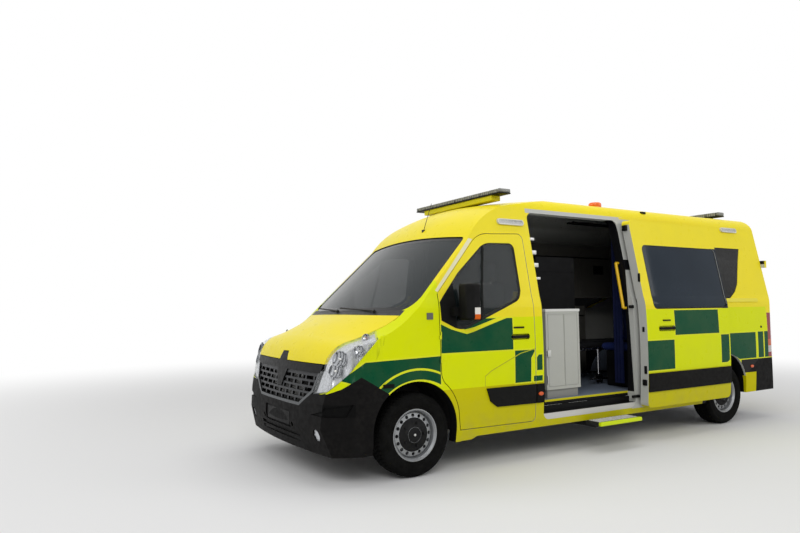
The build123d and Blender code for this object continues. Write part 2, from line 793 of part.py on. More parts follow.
fixing_station = 2300
fixing_y = 50
fixing_length = 300
fixing_width = 400
fixing_hole = 5.5
floor_rear = body_tail - 6
tread_top = 396
tread_inner = -925
with BuildPart() as floor_pan:
    add(cabin_form & block(firewall_station, floor_rear, -wide, wide, cabin_base, floor_top))
    for hollow in rear_hollows + front_hollows:
        add(hollow, mode=Mode.SUBTRACT)
    for wheel_housing in rear_housings:
        add(wheel_housing & cabin_form)
    add(outer & opening_cut & block(opening_front, opening_rear, -wide, tread_inner, door_bottom - 4, tread_top))
    add(opening_cut & block(opening_front, opening_rear, tread_inner - 12, tread_inner, tread_top, cabin_base))
    with Locations(plan_plane(floor_top)):
        with Locations((fixing_station, fixing_y)):
            with GridLocations(fixing_length, fixing_width, 2, 2):
                Hole(fixing_hole, depth=floor_thickness)
save("floor_pan", floor_pan.part)

# Front structure: the bulkhead between bay and cab, wheel housings, crossmember and bumper beam
front_housings = [
    housing(front_arch_station, front_arch_z - 10, front_housing_radius, housing_wall, y_0, y_1, 330)
    for y_0, y_1 in ((front_housing_y - housing_wall, 1000), (-1000, housing_wall - front_housing_y))]
slam_z = 890
with BuildPart() as front_structure:
    add(divider & block(-900, 400, -wide, wide, cabin_base, 1500))
    add(skin & cowl_zone)
    add(skin & bonnet_zone & bay_form.moved(Location((shut_gap, 0, -shut_gap)))
        & block(-front_overhang, 0, -gutter_half, gutter_half, cabin_base, 1500))
    for hollow in front_hollows:
        add(hollow, mode=Mode.SUBTRACT)
    for wheel_housing in front_housings:
        add((wheel_housing - skin) & outer)
    add(block(beam_station, beam_station + beam_depth, -560, 560, beam_z - beam_height / 2, beam_z + beam_height / 2))
    for y in (-620, 560):
        add(block(-735, -665, y, y + 60, beam_z - beam_height / 2, slam_z) & bay_form)
    add(block(-735, -665, -620, 620, slam_z, slam_z + 26) & bay_form)
    for y in (-430, 430):
        add(block(-715, -685, y - 15, y + 15, slam_z, 1200) & bay_form.moved(Location((0, 0, -knuckle_gap))))
    with Locations(cross_plane(beam_station)):
        with Locations((tow_eye_y, beam_z)):
            Hole(tow_eye_radius, depth=2 * beam_depth)
save("front_structure", front_structure.part)

with BuildPart() as radiator:
    add(block(-735, -697, -360, 360, beam_z + beam_height / 2, slam_z))
save("radiator", radiator.part)

# Engine and gearbox as one plain block, low between the housings
with BuildPart() as engine:
    add(block(-600, -150, -270, 260, 330, 960, 30))
    add(block(-480, -180, -400, -265, 330, 600))
save("engine", engine.part)

# Underframe: rails under the floor, crossmembers, front subframe
rail_y = 430
rail_width = 70
rail_depth = 60
crossmember_stations = (700, 1500, 2400, 3300, 3720, 4930)
crossmember_length = 60
subframe_z = 250
tow_bar_spacing = 800
tow_bar_hole = 6.5
subframe_height = 80
rail_base = cabin_base - rail_depth
exhaust_radius = 24
silencer_radius = 78
silencer_front = 3310
silencer_length = 380
silencer_z = 306
exhaust_route = ((250, 0, 306), (3760, 0, 306), (3960, -60, 340), (4180, -120, 422), (4480, -170, 422),
                 (4700, -320, 330), (5130, -420, 320))
spare_station = 4985
spare_y = 140
spare_low = 170
spare_width = 190
spare_radius = 190
with BuildPart() as underframe:
    for side in (-1, 1):
        y_0, y_1 = sorted((side * rail_y, side * (rail_y + rail_width)))
        add(block(-700, body_tail - 90, y_0, y_1, rail_base, cabin_base))
        add(block(-640, -560, y_0, y_1, subframe_z, rail_base))
        add(block(60, 140, y_0, y_1, subframe_z, rail_base))
        for hanger in (wheelbase - 640, wheelbase + 560):
            add(block(hanger, hanger + 80, *sorted((side * (rail_y + rail_width), side * 600)), 395, cabin_base))
    for station in crossmember_stations:
        add(block(station, station + crossmember_length, -rail_y, rail_y, rail_base, cabin_base))
    add(block(body_tail - 150, body_tail - 90, -860, 860, rail_base, cabin_base))
    with Locations(plan_plane(cabin_base)):
        with Locations((body_tail - 120, 0)):
            with GridLocations(1, tow_bar_spacing, 1, 2):
                Hole(tow_bar_hole, depth=rail_depth)
    add(block(-640, 140, -rail_y - rail_width, rail_y + rail_width, subframe_z, subframe_z + 30))
    add(block(-600, -450, -250, 250, subframe_z + 30, 330))
    add(block(900, 1900, 20 - rail_y, -60, 262, rail_base, 24))
    add(block(920, 1880, 40 - rail_y, -80, rail_base - 30, cabin_base))
    add(block(2500, 3100, 60, 330, 262, rail_base, 24))
    add(block(2520, 3080, 80, 310, rail_base - 30, cabin_base))
    for start, end in zip(exhaust_route, exhaust_route[1:]):
        add(rod(start, end, exhaust_radius))
    for x, y, z in exhaust_route[1:-1]:
        with Locations((axle_x + x, y, z)):
            Sphere(exhaust_radius)
    add(rod((silencer_front, 0, silencer_z), (silencer_front + silencer_length, 0, silencer_z), silencer_radius))
    for x in (silencer_front + 60, silencer_front + silencer_length - 60):
        add(block(x - 10, x + 10, -10, 10, silencer_z, rail_base + 4))
    add(rod((spare_station, spare_y, spare_low), (spare_station, spare_y, spare_low + spare_width), spare_radius))
    add(rod((spare_station, spare_y, spare_low + spare_width - 5), (spare_station, spare_y, rail_base + 4), 30))
save("underframe", underframe.part)

# Front suspension: lower arm, strut and upper bracket hold each kingpin
kingpin_low = 205
kingpin_high = 480
kingpin_radius = 11
with BuildPart() as front_suspension:
    for side in (-1, 1):
        add(block(-26, 26, *sorted((side * (rail_y + rail_width), side * (kingpin_y + 20))), kingpin_low - 24,
                  kingpin_low))
        add(block(-60, 60, *sorted((side * (rail_y + rail_width), side * 560)), kingpin_low - 24, subframe_z))
        add(rod((0, side * kingpin_y, kingpin_low), (0, side * kingpin_y, kingpin_low + 30), kingpin_radius))
        add(block(-24, 24, *sorted((side * 672, side * (kingpin_y + 24))), kingpin_high, kingpin_high + 22))
        add(rod((0, side * kingpin_y, kingpin_high), (0, side * kingpin_y, kingpin_high - 30), kingpin_radius))
        add(rod((0, side * 690, kingpin_high + 22), (0, side * 660, 790), 24))
save("front_suspension", front_suspension.part)

# Knuckles turn on the kingpins and carry the front wheels
stub_radius = hub_bore - bore_clearance
for name, side in sides:
    y = side * kingpin_y
    with BuildPart() as knuckle:
        add(block(-30, 30, y - 26, y + 26, kingpin_low + knuckle_gap, kingpin_high - knuckle_gap))
        add(rod((0, y, tyre_radius), (0, side * (front_wheel_y + 78), tyre_radius), stub_radius))
        add(rod((0, y + side * 26, tyre_radius), (0, y + side * 34, tyre_radius), 62))
        add(rod((0, y, kingpin_low - 2), (0, y, kingpin_low + 34), kingpin_radius + bore_clearance),
            mode=Mode.SUBTRACT)
        add(rod((0, y, kingpin_high - 34), (0, y, kingpin_high + 2), kingpin_radius + bore_clearance),
            mode=Mode.SUBTRACT)
    save(f"knuckle_{name}", knuckle.part)

# Rear axle beam on leaf springs
beam_radius = 38
spring_y = 560
spring_width = 60
spring_thickness = 22
with BuildPart() as rear_axle:
    add(rod((wheelbase, -rear_wheel_y + 50, tyre_radius), (wheelbase, rear_wheel_y - 50, tyre_radius), beam_radius))
    for side in (-1, 1):
        add(rod((wheelbase, side * (rear_wheel_y - 60), tyre_radius),
                (wheelbase, side * (rear_wheel_y + 78), tyre_radius), stub_radius))
        with BuildSketch(side_plane(side * spring_y + spring_width / 2)):
            with BuildLine():
                bow = ThreePointArc((wheelbase - 600, 395 - spring_thickness),
                                    (wheelbase, tyre_radius - beam_radius - spring_thickness),
                                    (wheelbase + 600, 395 - spring_thickness))
                top = ThreePointArc((wheelbase - 600, 395), (wheelbase, tyre_radius - beam_radius),
                                    (wheelbase + 600, 395))
                Line(bow @ 0, top @ 0)
                Line(bow @ 1, top @ 1)
            make_face()
        extrude(amount=spring_width)
save("rear_axle", rear_axle.part)

# Wheels
tyre_inner = 203
disc_y = 62
vent_count = 16
vent_circle = 158
vent_radius = 15
brake_radius = 148
brake_thickness = 22
cap_top = 90


def wheel_plane(station, y, side):
    """Wheel axis as the sketch's own Z, pointing outboard."""
    return Plane(origin=(axle_x + station, y, tyre_radius), x_dir=(1, 0, 0), z_dir=(0, side, 0))


def make_tyre():
    with BuildPart() as tyre:
        with BuildSketch(Plane.XZ):
            with BuildLine():
                half = tyre_width / 2
                bead = half - 30
                lip = half - 9
                low_lip = Polyline((tyre_inner, bead), (rim_radius + 2, bead), (rim_radius + 5, lip))
                wall = ThreePointArc(low_lip @ 1, (275, half), (tyre_radius - 24, half - 9))
                Polyline(wall @ 1, (tyre_radius, half - 34), (tyre_radius, 34 - half), (tyre_radius - 24, 9 - half))
                ThreePointArc((tyre_radius - 24, 9 - half), (275, -half), (rim_radius + 5, -lip))
                Polyline((rim_radius + 5, -lip), (rim_radius + 2, -bead), (tyre_inner, -bead), (tyre_inner, bead))
            make_face()
        revolve(axis=Axis.Z)
    return tyre.part


def make_rim():
    """Pressed steel wheel: barrel, dished disc with round vents, hub with its cap, brake disc."""
    half = tyre_width / 2 - 14
    with BuildPart() as rim:
        with BuildSketch(Plane.XZ):
            with BuildLine():
                Polyline((rim_radius, -half - 2), (rim_radius, 10 - half), (tyre_inner, 14 - half),
                         (tyre_inner, half - 14), (rim_radius, half - 10), (rim_radius, half + 2),
                         (rim_radius - 8, half + 2), (tyre_inner - 10, half - 16), (tyre_inner - 11, disc_y - 20),
                         (176, disc_y - 2), (140, disc_y + 4), (120, disc_y - 12),
                         (80, disc_y - 12), (78, cap_top - 14), (64, cap_top), (0, cap_top), (0, cap_top - 6),
                         (hub_bore, cap_top - 6), (hub_bore, -16), (brake_radius, -16),
                         (brake_radius, brake_thickness - 16), (56, brake_thickness - 16),
                         (60, disc_y - 22), (124, disc_y - 22), (138, disc_y - 6),
                         (170, disc_y - 12), (182, disc_y - 34), (tyre_inner - 12, 6),
                         (tyre_inner - 12, 16 - half), (rim_radius - 8, -half - 2), close=True)
            make_face()
        revolve(axis=Axis.Z)
        with BuildSketch(Plane.XY.offset(disc_y - 50)):
            with PolarLocations(vent_circle, vent_count):
                Circle(vent_radius)
        extrude(amount=100, mode=Mode.SUBTRACT)
    return rim.part


tyre_form = make_tyre()
rim_form = make_rim()
wheel_places = {"front_left": (0, front_wheel_y, -1), "front_right": (0, front_wheel_y, 1),
                "rear_left": (wheelbase, rear_wheel_y, -1), "rear_right": (wheelbase, rear_wheel_y, 1)}
for name, (station, y, side) in wheel_places.items():
    place = wheel_plane(station, side * y, side).location
    with BuildPart() as tyre:
        add(tyre_form.moved(place))
    save(f"tyre_{name}", tyre.part)
    with BuildPart() as rim:
        add(rim_form.moved(place))
    save(f"rim_{name}", rim.part)

# Load space: bulkhead, cabinet, lockers, stretcher, seat, grab rail, ceiling unit
with BuildPart() as bulkhead:
    add(cabin_form & block(bulkhead_station, bulkhead_station + bulkhead_thickness, -wide, wide, floor_top, 2600))
save("bulkhead", bulkhead.part)

cabinet_front = 1600
cabinet_length = 461
cabinet_outer = -860
cabinet_inner = -420
cabinet_top = 1368
worktop = 26
plinth = 80
groove = 5
cabinet_doors = ((1626, 1846), (1851, 2035))   # front and rear of each door
with BuildPart() as cabinet:
    add(block(cabinet_front, cabinet_front + cabinet_length, cabinet_outer, cabinet_inner, floor_top + plinth,
              cabinet_top - worktop))
    add(block(cabinet_front - 8, cabinet_front + cabinet_length + 8, cabinet_outer - 8, cabinet_inner + 8,
              cabinet_top - worktop, cabinet_top, 6))
    add(block(cabinet_front + 20, cabinet_front + cabinet_length - 20, cabinet_outer + 20, cabinet_inner - 20,
              floor_top, floor_top + plinth))
    for front, rear in cabinet_doors:
        door = block(front, rear, cabinet_outer - 5, cabinet_outer + groove, floor_top + plinth + 30,
                     cabinet_top - worktop - 24)
        leaf = block(front + groove, rear - groove, cabinet_outer - 5, cabinet_outer + groove,
                     floor_top + plinth + 30 + groove, cabinet_top - worktop - 24 - groove)
        add(door - leaf, mode=Mode.SUBTRACT)
save("cabinet", cabinet.part)

# Lockers along the right wall, their doors parted by grooves, and a closed one that stands on the cabinet
top_locker = dict(front=1640, rear=2180, outer=-700, inner=-410, top=1900, door_joint=1745)
locker_rows = (   # front, rear, inner face, low, top, doors
    (1800, 4700, 480, 1500, 2200, 5),
    (1500, 3700, 560, floor_top, 1400, 4))
with BuildPart() as lockers:
    for front, rear, face, low, top, doors in locker_rows:
        add(cabin_form & block(front, rear, face, wide, low, top))
        pitch = (rear - front) / doors
        for number in range(1, doors):
            x = front + number * pitch
            add(block(x - groove / 2, x + groove / 2, face - 5, face + groove, low + 40, top - 40), mode=Mode.SUBTRACT)
        for height in (low + 40, top - 40):
            add(block(front + 20, rear - 20, face - 5, face + groove, height - groove / 2, height + groove / 2),
                mode=Mode.SUBTRACT)
    add(block(top_locker["front"], top_locker["rear"], top_locker["outer"], top_locker["inner"], cabinet_top,
              top_locker["top"]))
    add(block(top_locker["front"] + 20, top_locker["rear"] - 20, top_locker["outer"] - 5, top_locker["outer"] + groove,
              top_locker["door_joint"], top_locker["door_joint"] + groove), mode=Mode.SUBTRACT)
save("lockers", lockers.part)

stretcher_front = 2560
stretcher_length = 1950
stretcher_y = -60
mattress_z = 930
mattress_thickness = 90
deck_width = 560
with BuildPart() as stretcher:
    for y in (stretcher_y - deck_width / 2, stretcher_y + deck_width / 2):
        add(rod((stretcher_front, y, mattress_z - 20), (stretcher_front + stretcher_length, y, mattress_z - 20), 16))
        add(rod((stretcher_front + 200, y, 560), (stretcher_front + stretcher_length - 150, y, 560), 16))
        for x in (stretcher_front + 350, stretcher_front + stretcher_length - 350):
            add(rod((x, y, 560), (x, y, mattress_z - 20), 14))
            add(rod((x, y - 14, floor_top + 60), (x, y + 14, floor_top + 60), 60))
    for x in (stretcher_front, stretcher_front + stretcher_length):
        add(rod((x, stretcher_y - deck_width / 2, mattress_z - 20),
                (x, stretcher_y + deck_width / 2, mattress_z - 20), 16))
    add(block(stretcher_front, stretcher_front + stretcher_length, stretcher_y - deck_width / 2,
              stretcher_y + deck_width / 2, mattress_z - 42, mattress_z - 30))
save("stretcher", stretcher.part)

with BuildPart() as mattress:
    add(block(stretcher_front + 25, stretcher_front + stretcher_length - 25, stretcher_y - deck_width / 2 + 20,
              stretcher_y + deck_width / 2 - 20, mattress_z - 30, mattress_z + mattress_thickness - 30, 26))
save("mattress", mattress.part)

crew_seat_blocks = (   # front, rear, outer and inner y, low, top, edge radius
    (2860, 3260, -820, -400, 900, 980, 24),
    (3190, 3270, -780, -440, 960, 1560, 24),
    (2900, 3240, -800, -460, floor_top, 900, 0))
with BuildPart() as crew_seat:
    for front, rear, y_0, y_1, low, top, edge in crew_seat_blocks:
        add(block(front, rear, y_0, y_1, low, top, edge))
save("crew_seat", crew_seat.part)

grab_station = opening_rear - 40
grab_low = (grab_station, -935, 1370)
grab_high = (grab_station, -855, 1850)
with BuildPart() as grab_rail:
    add(rod(grab_low, grab_high, 16))
    for x, y, z in (grab_low, grab_high):
        add(rod((x, y, z), (opening_rear, y, z), 13))
save("grab_rail", grab_rail.part)

# Cab: dashboard, seats, steering wheel
dash_half = 916
dash_profile = [(firewall_station, 700), (firewall_station, 1121), (dash_station + 10, 1236), (-60, 1262),
                (240, 1185), (400, 1110), (440, 1020), (420, 880), (330, 760), (300, 700)]
hood_profile = [(230, 1180), (320, 1248), (404, 1204), (412, 1120), (300, 1110)]
hood_half = 150
wheel_tilt = 52
steering_station = 500
steering_y = 440
steering_z = 1190
steering_radius = 195
grip_radius = 16
boss_end = -90


def column_point(along):
    """A point on the steering column's axis, measured from the steering wheel's centre."""
    return (steering_station + along * cos(radians(wheel_tilt)), steering_y,
            steering_z + along * sin(radians(wheel_tilt)))


with BuildPart() as dashboard:
    add(cabin_form & side_prism(dash_profile, -dash_half, dash_half))
    add(side_prism(hood_profile, steering_y - hood_half, steering_y + hood_half))
    for cut in front_hollows:
        add(cut, mode=Mode.SUBTRACT)
    add(rod(column_point(boss_end - knuckle_gap), column_point(boss_end - 160), 20))
save("dashboard", dashboard.part)

seat_front = 720
seat_y = 440
seat_half = 240
seat_blocks = (   # front and rear from the seat's front, half width, low, top, edge radius
    (0, 500, seat_half, 900, 1020, 40),
    (60, 460, seat_half - 40, floor_top, 902, 0),
    (430, 550, seat_half, 1000, 1640, 45),
    (460, 550, 130, 1630, 1850, 40))
with BuildPart() as cab_seats:
    for side in (-1, 1):
        for front, rear, half, low, top, edge in seat_blocks:
            add(block(seat_front + front, seat_front + rear, side * seat_y - half, side * seat_y + half, low, top, edge))
save("cab_seats", cab_seats.part)

steering_plane = Plane(origin=(axle_x + steering_station, steering_y, steering_z),
                       x_dir=(0, 1, 0), z_dir=(cos(radians(wheel_tilt)), 0, sin(radians(wheel_tilt))))
with BuildPart(steering_plane) as steering_wheel:
    Torus(steering_radius, grip_radius)
    Cylinder(55, 40)
    with PolarLocations(steering_radius / 2, 3, start_angle=90):
        Box(steering_radius, 34, 12)
    with Locations((0, 0, boss_end)):
        Cylinder(22, -boss_end, align=(Align.CENTER, Align.CENTER, Align.MIN))
save("steering_wheel", steering_wheel.part)

# Rear doors hinge at the outer corners, behind the body
rear_door_section = cross_form(side_wall + shut_gap, roof_wall + shut_gap)
rear_window = dict(low=1340, high=2060, inner=110, outer=760)
rear_field = dict(low=800, high=1240, inner=100, outer=780, depth=8)
rear_handle = dict(inner=46, outer=92, low=1010, high=1190, reach=30)
for name, side in sides:
    y_0, y_1 = sorted((side * shut_gap / 2, side * wide))
    w_0, w_1 = sorted((side * rear_window["inner"], side * rear_window["outer"]))
    window = block(body_tail - 200, body_tail + 200, w_0, w_1, rear_window["low"], rear_window["high"])
    field = rounded_prism_across(body_tail - rear_field["depth"], body_tail + 50,
                                 *sorted((side * rear_field["inner"], side * rear_field["outer"])),
                                 rear_field["low"], rear_field["high"], 40)
    with BuildPart() as rear_door:
        add(outer & rear_door_section)
        add(block(rear_door_inner, body_tail + 50, y_0, y_1, floor_top + shut_gap, 2700), mode=Mode.INTERSECT)
        add(window, mode=Mode.SUBTRACT)
        add(field, mode=Mode.SUBTRACT)
        for height in rear_hinge_heights:
            add(rear_hinge(side, height, True))
        if name == "left":
            add(block(body_tail - 2, body_tail + rear_handle["reach"],
                      *sorted((side * rear_handle["inner"], side * rear_handle["outer"])),
                      rear_handle["low"], rear_handle["high"], 10))
    save(f"rear_door_{name}", rear_door.part)
    with BuildPart() as rear_glass:
        add(block(body_tail - 20, body_tail - 12, w_0, w_1, rear_window["low"], rear_window["high"]) & outer)
    save(f"rear_glass_{name}", rear_glass.part)

# Sliding door, standing open alongside the body
slide_front = opening_front + door_travel
slide_length = 1445
slide_wall = 95
slide_top = 2306
slide_shift = Location((0, -door_offset, 0))
slide_outline = rounded_prism(slide_front, slide_front + slide_length, door_bottom, slide_top, 60, -wide, -500)
slide_window = rounded_prism(slide_front + 130, slide_front + slide_length - 16, 1355, 2040, 60, -wide, -500)
slide_inner = cross_form(slide_wall, 0)
slide_handle_front = slide_front + 200
slide_handle_length = 250
slide_handle_z = 1150
slide_pocket = rounded_prism(slide_handle_front - 8, slide_handle_front + slide_handle_length + 8,
                             slide_handle_z - 28, slide_handle_z + 28, 20, -wide, pocket_depth - half_width)
with BuildPart() as sliding_door:
    add(((outer & slide_outline) - slide_inner - slide_window - slide_pocket).moved(slide_shift))
save("sliding_door", sliding_door.part)

with BuildPart() as sliding_glass:
    add((glass_skin & slide_window).moved(slide_shift))
save("sliding_glass", sliding_glass.part)

# Roller arms and their rails carry the sliding door on the body
rail_z = 1445
rail_front = 2760
rail_rear = 5019
rail_depth_out = 12
arm_gap = door_offset - slide_wall - knuckle_gap
arm_places = ((slide_front + 70, 2240), (slide_front + 70, 420), (slide_front + slide_length - 240, rail_z))
arm_form = cross_form(-arm_gap, 0) - outer_section
rail_form = cross_form(-rail_depth_out, 0) - outer_section
with BuildPart() as slide_rails:
    add(rail_form & rounded_prism(rail_front, rail_rear, rail_z - 22, rail_z + 22, 10, -wide, 0))
    for x, z in arm_places:
        add(arm_form & rounded_prism(x, x + 90, z - 18, z + 18, 8, -wide, 0))
save("slide_rails", slide_rails.part)

# Outer trim on the body: rub strips, arch markers and wing squares
pillar_strip = side_prism([(opening_front - 96, strip_low), (opening_front - 4, strip_low),
                           (opening_front - 4, strip_high), (opening_front - 96, strip_high)], -wide, wide)
body_strip = rounded_prism(opening_front + 4, 3940, strip_low, strip_high, 8, -wide, wide)
slide_strip = rounded_prism(slide_front + 4, slide_front + slide_length - 4, strip_low, 693, 8, -wide, wide)
trim_form = cross_form(-strip_depth, 0)
slide_oblong_front = slide_handle_front + 60
with BuildPart() as slide_handle:
    add(block(slide_handle_front, slide_handle_front + slide_handle_length, -half_width - 8, 10 - half_width,
              slide_handle_z - 13, slide_handle_z + 13))
    for x in (slide_handle_front, slide_handle_front + slide_handle_length - 24):
        add(block(x, x + 24, -half_width, pocket_depth - half_width, slide_handle_z - 13, slide_handle_z + 13))
    add(block(slide_oblong_front, slide_oblong_front + oblong_length, -half_width - 3, 10 - half_width,
              slide_handle_z + 78, slide_handle_z + 92) - outer_section)
slide_handle = slide_handle.part
with BuildPart() as body_mouldings:
    add((trim_form & pillar_strip) - outer_section)
    add((trim_form & halves["right"] & body_strip) - outer_section)
    add(((trim_form & halves["left"] & slide_strip) - outer_section).moved(slide_shift))
    add(slide_handle.moved(slide_shift))
    for side in (-1, 1):
        add(block(88, 148, *sorted((side * 1000, side * 1034)), 1296, 1352) - outer)
        add(block(-327, -231, *sorted((side * 960, side * 1022)), 756, 784) - outer)
save("body_mouldings", body_mouldings.part)

# Rear bumper with its step
step_top = 494
with BuildPart() as rear_bumper:
    add(skin & rear_bumper_zone)
    for cut in (*arch_cuts, *lamp_zones, sill_cut):
        add(cut, mode=Mode.SUBTRACT)
    add(block(body_tail, tail_station, -960, 960, 345, step_top, 12))
save("rear_bumper", rear_bumper.part)

with BuildPart() as tail_lamps:
    for zone in lamp_zones:
        add(skin & zone)
save("tail_lamps", tail_lamps.part)

# Folding side step, out below the sliding door opening
step_front = 1920
step_length = 590
step_outer = mirror_reach
step_top_z = 288
step_grooves = 6
with BuildPart() as side_step:
    add(block(step_front, step_front + step_length, -step_outer, -1046, 252, step_top_z, 6))
    for number in range(step_grooves):
        y = -1070 - number * 24
        add(block(step_front + 16, step_front + step_length - 16, y - 4, y + 4, step_top_z - 4, step_top_z + 5),
            mode=Mode.SUBTRACT)
    for x in (step_front + 90, step_front + step_length - 130):
        add(block(x, x + 40, -1080, -520, 216, 253))
        add(block(x, x + 40, -700, -640, 253, cabin_base))
save("side_step", side_step.part)

# Roof equipment
with BuildPart() as lightbar:
    add(block(1165, 1285, -600, 600, 2440, 2502) - outer)
    add(block(1150, 1300, -740, 740, 2502, 2556, 20))
save("lightbar", lightbar.part)

with BuildPart() as rear_lightbar:
    add(block(4815, 4905, -560, 560, 2440, 2512) - outer)
    add(block(4795, 4925, -700, 700, 2512, 2574, 20))
save("rear_lightbar", rear_lightbar.part)

beacon_station = 2757
beacon_y = -500
beacon_radius = 72
with BuildPart() as beacon:
    add(rod((beacon_station, beacon_y, 2440), (beacon_station, beacon_y, 2500), beacon_radius + 8) - outer)
    add(rod((beacon_station, beacon_y, 2500), (beacon_station, beacon_y, 2562), beacon_radius))
    fillet(beacon.edges().sort_by(Axis.Z)[-1], 22)
save("beacon", beacon.part)

strobe_places = ((1005, 2200), (4586, 2315))
strobe_length = 320
strobe_height = 56
with BuildPart() as strobes:
    for x, z in strobe_places:
        zone = rounded_prism(x, x + strobe_length, z - strobe_height / 2, z + strobe_height / 2, 26, -wide, wide)
        add(((cross_form(-22, 0) - outer_section) & zone))
save("strobes", strobes.part)

aerial_station = 655
aerial_z = 2150
aerial_y = -150


def screen_point(y, share, lift):
    """A point over the windscreen: a share of its height up, and a lift off it."""
    sweep = (y / outline_half) ** 2
    low = Vector(-215 + 118 * sweep, 1350 - 2 * sweep)
    high = Vector(575 + 58 * sweep, 2080 - 50 * sweep)
    slope = (high - low).normalized()
    place = low + (high - low) * share + Vector(-slope.Y, slope.X) * lift
    return (place.X, y, place.Y)


with BuildPart() as wipers_aerial:
    add(rod((3815, -300, 2440), (3815, -300, 2528), 34) - outer)
    add(rod((aerial_station, aerial_y, aerial_z - 60), (aerial_station, aerial_y, aerial_z + 26), 20) - outer)
    add(rod((aerial_station, aerial_y, aerial_z + 20), (aerial_station + 100, aerial_y, aerial_z + 300), 3) - outer)
    for y in (-560, 60):
        add(rod(screen_point(y, 0.02, -4), screen_point(y, 0.02, 22), 14) - outer)
        add(rod(screen_point(y, 0.02, 16), screen_point(y + 610, 0.055, 16), 7))
save("wipers_aerial", wipers_aerial.part)
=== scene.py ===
import math
from contextlib import contextmanager
from functools import reduce
import bpy
from mathutils import Vector, Matrix


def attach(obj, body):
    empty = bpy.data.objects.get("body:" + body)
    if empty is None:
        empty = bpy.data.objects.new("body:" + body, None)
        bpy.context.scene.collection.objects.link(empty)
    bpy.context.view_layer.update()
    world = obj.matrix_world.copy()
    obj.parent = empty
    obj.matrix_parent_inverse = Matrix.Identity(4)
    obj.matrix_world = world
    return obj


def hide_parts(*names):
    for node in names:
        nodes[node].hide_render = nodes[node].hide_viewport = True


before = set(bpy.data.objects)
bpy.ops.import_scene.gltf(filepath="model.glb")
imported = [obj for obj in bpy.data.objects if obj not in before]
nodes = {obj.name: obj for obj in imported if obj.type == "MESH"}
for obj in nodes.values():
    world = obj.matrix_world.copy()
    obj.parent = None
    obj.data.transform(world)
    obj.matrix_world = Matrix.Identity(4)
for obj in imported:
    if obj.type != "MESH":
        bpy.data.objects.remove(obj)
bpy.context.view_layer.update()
frontAxle = -2.257  # where the front axle stands along the row, metres
wheelBase = 4332
handed = (("left", -1), ("right", 1))
sides = ("left", "right")
print("frame loaded:", len(nodes), "nodes")


def linear(red, green, blue):  # a colour as seen, 0 to 255, made linear
    channels = [value / 255 for value in (red, green, blue)]
    return tuple(value / 12.92 if value <= 0.04045 else ((value + 0.055) / 1.055) ** 2.4 for value in channels) + (1,)


# ---- camera and light ----
cameraLook = {"place": (-5.196, -5.526, 1.392), "yaw": 31.62, "pitch": 3.71, "roll": 0.67, "lens": 29.09}


def addCamera(look):
    yaw, pitch, roll = (math.radians(look[key]) for key in ("yaw", "pitch", "roll"))
    ahead = Vector((math.sin(yaw) * math.cos(pitch), math.cos(yaw) * math.cos(pitch), math.sin(pitch)))
    right = Vector((math.cos(yaw), -math.sin(yaw), 0))
    down = ahead.cross(right)
    turnedRight = right * math.cos(roll) + down * math.sin(roll)
    turnedDown = down * math.cos(roll) - right * math.sin(roll)
    bpy.ops.object.camera_add()
    camera = bpy.context.object
    camera.name = "photoCamera"
    camera.data.lens = look["lens"]
    camera.data.sensor_width = 36
    turn = Matrix((turnedRight, -turnedDown, -ahead)).transposed().to_4x4()
    camera.matrix_world = Matrix.Translation(look["place"]) @ turn
    bpy.context.scene.camera = camera


addCamera(cameraLook)

lightLook = {
    "softboxes": (  # place, where it points, width, height, power
        ((-6.5, -7.5, 6.5), (-0.5, -0.5, 1.0), 6.0, 4.0, 330),
        ((5.5, -7.0, 5.0), (1.0, -0.5, 1.0), 5.0, 4.0, 150),
        ((-9.0, 4.0, 5.0), (-2.0, 0.0, 1.0), 4.0, 4.0, 140),
        ((0.0, 0.0, 8.5), (0.0, 0.0, 0.0), 8.0, 5.0, 260),
    ),
    "worldStrength": 0.42,
    "floorColour": (226, 226, 226), "floorFade": (3.5, 13.0),  # to white, metres from the middle
}


def plainlySeen(tree):  # 1 where the background shows to the camera, in glass or in a reflection
    rays = newNode(tree, "LightPath", {}).outputs
    return joined(tree, "MAXIMUM", [rays[f"Is {kind} Ray"] for kind in ("Camera", "Transmission", "Glossy")])


def addLights(look):
    for place, target, width, height, power in look["softboxes"]:
        bpy.ops.object.light_add(type="AREA", location=place)
        lamp = bpy.context.object
        lamp.data.shape = "RECTANGLE"
        lamp.data.size, lamp.data.size_y = width, height
        lamp.data.energy = power
        lamp.rotation_mode = "QUATERNION"
        lamp.rotation_quaternion = (Vector(target) - Vector(place)).to_track_quat("-Z", "Y")
    world = bpy.data.worlds.new("studioWorld")
    bpy.context.scene.world = world
    world.use_nodes = True
    tree = world.node_tree
    strength = spread(tree, plainlySeen(tree), look["worldStrength"], 1)
    feed(tree, tree.nodes["Background"], {"Color": (1, 1, 1, 1), "Strength": strength})


def addFloor(look):
    bpy.ops.mesh.primitive_plane_add(size=90, location=(0, 0, -0.001))
    floor = bpy.context.object
    floor.name = "studioFloor"
    material, tree, shader = newFinish("studioFloorPaint", look["floorColour"], 0.9)
    fade = spread(tree, vectorNode(tree, "LENGTH", objectPosition(tree)), 0, 1, *look["floorFade"], "SMOOTHSTEP")
    amount, white = times(tree, plainlySeen(tree), fade), newNode(tree, "Emission", {}).outputs["Emission"]
    mix = newNode(tree, "MixShader", {0: amount, 1: shader.outputs["BSDF"], 2: white})
    feed(tree, tree.nodes["Material Output"], {"Surface": mix.outputs["Shader"]})
    floor.data.materials.append(material)


# ---- helpers for materials ----
def feed(tree, node, values):  # its inputs by place or label, each from a value or another node's output
    for place, value in values.items():
        if isinstance(value, (int, float, tuple, list)):
            node.inputs[place].default_value = value
        else:
            tree.links.new(value, node.inputs[place])


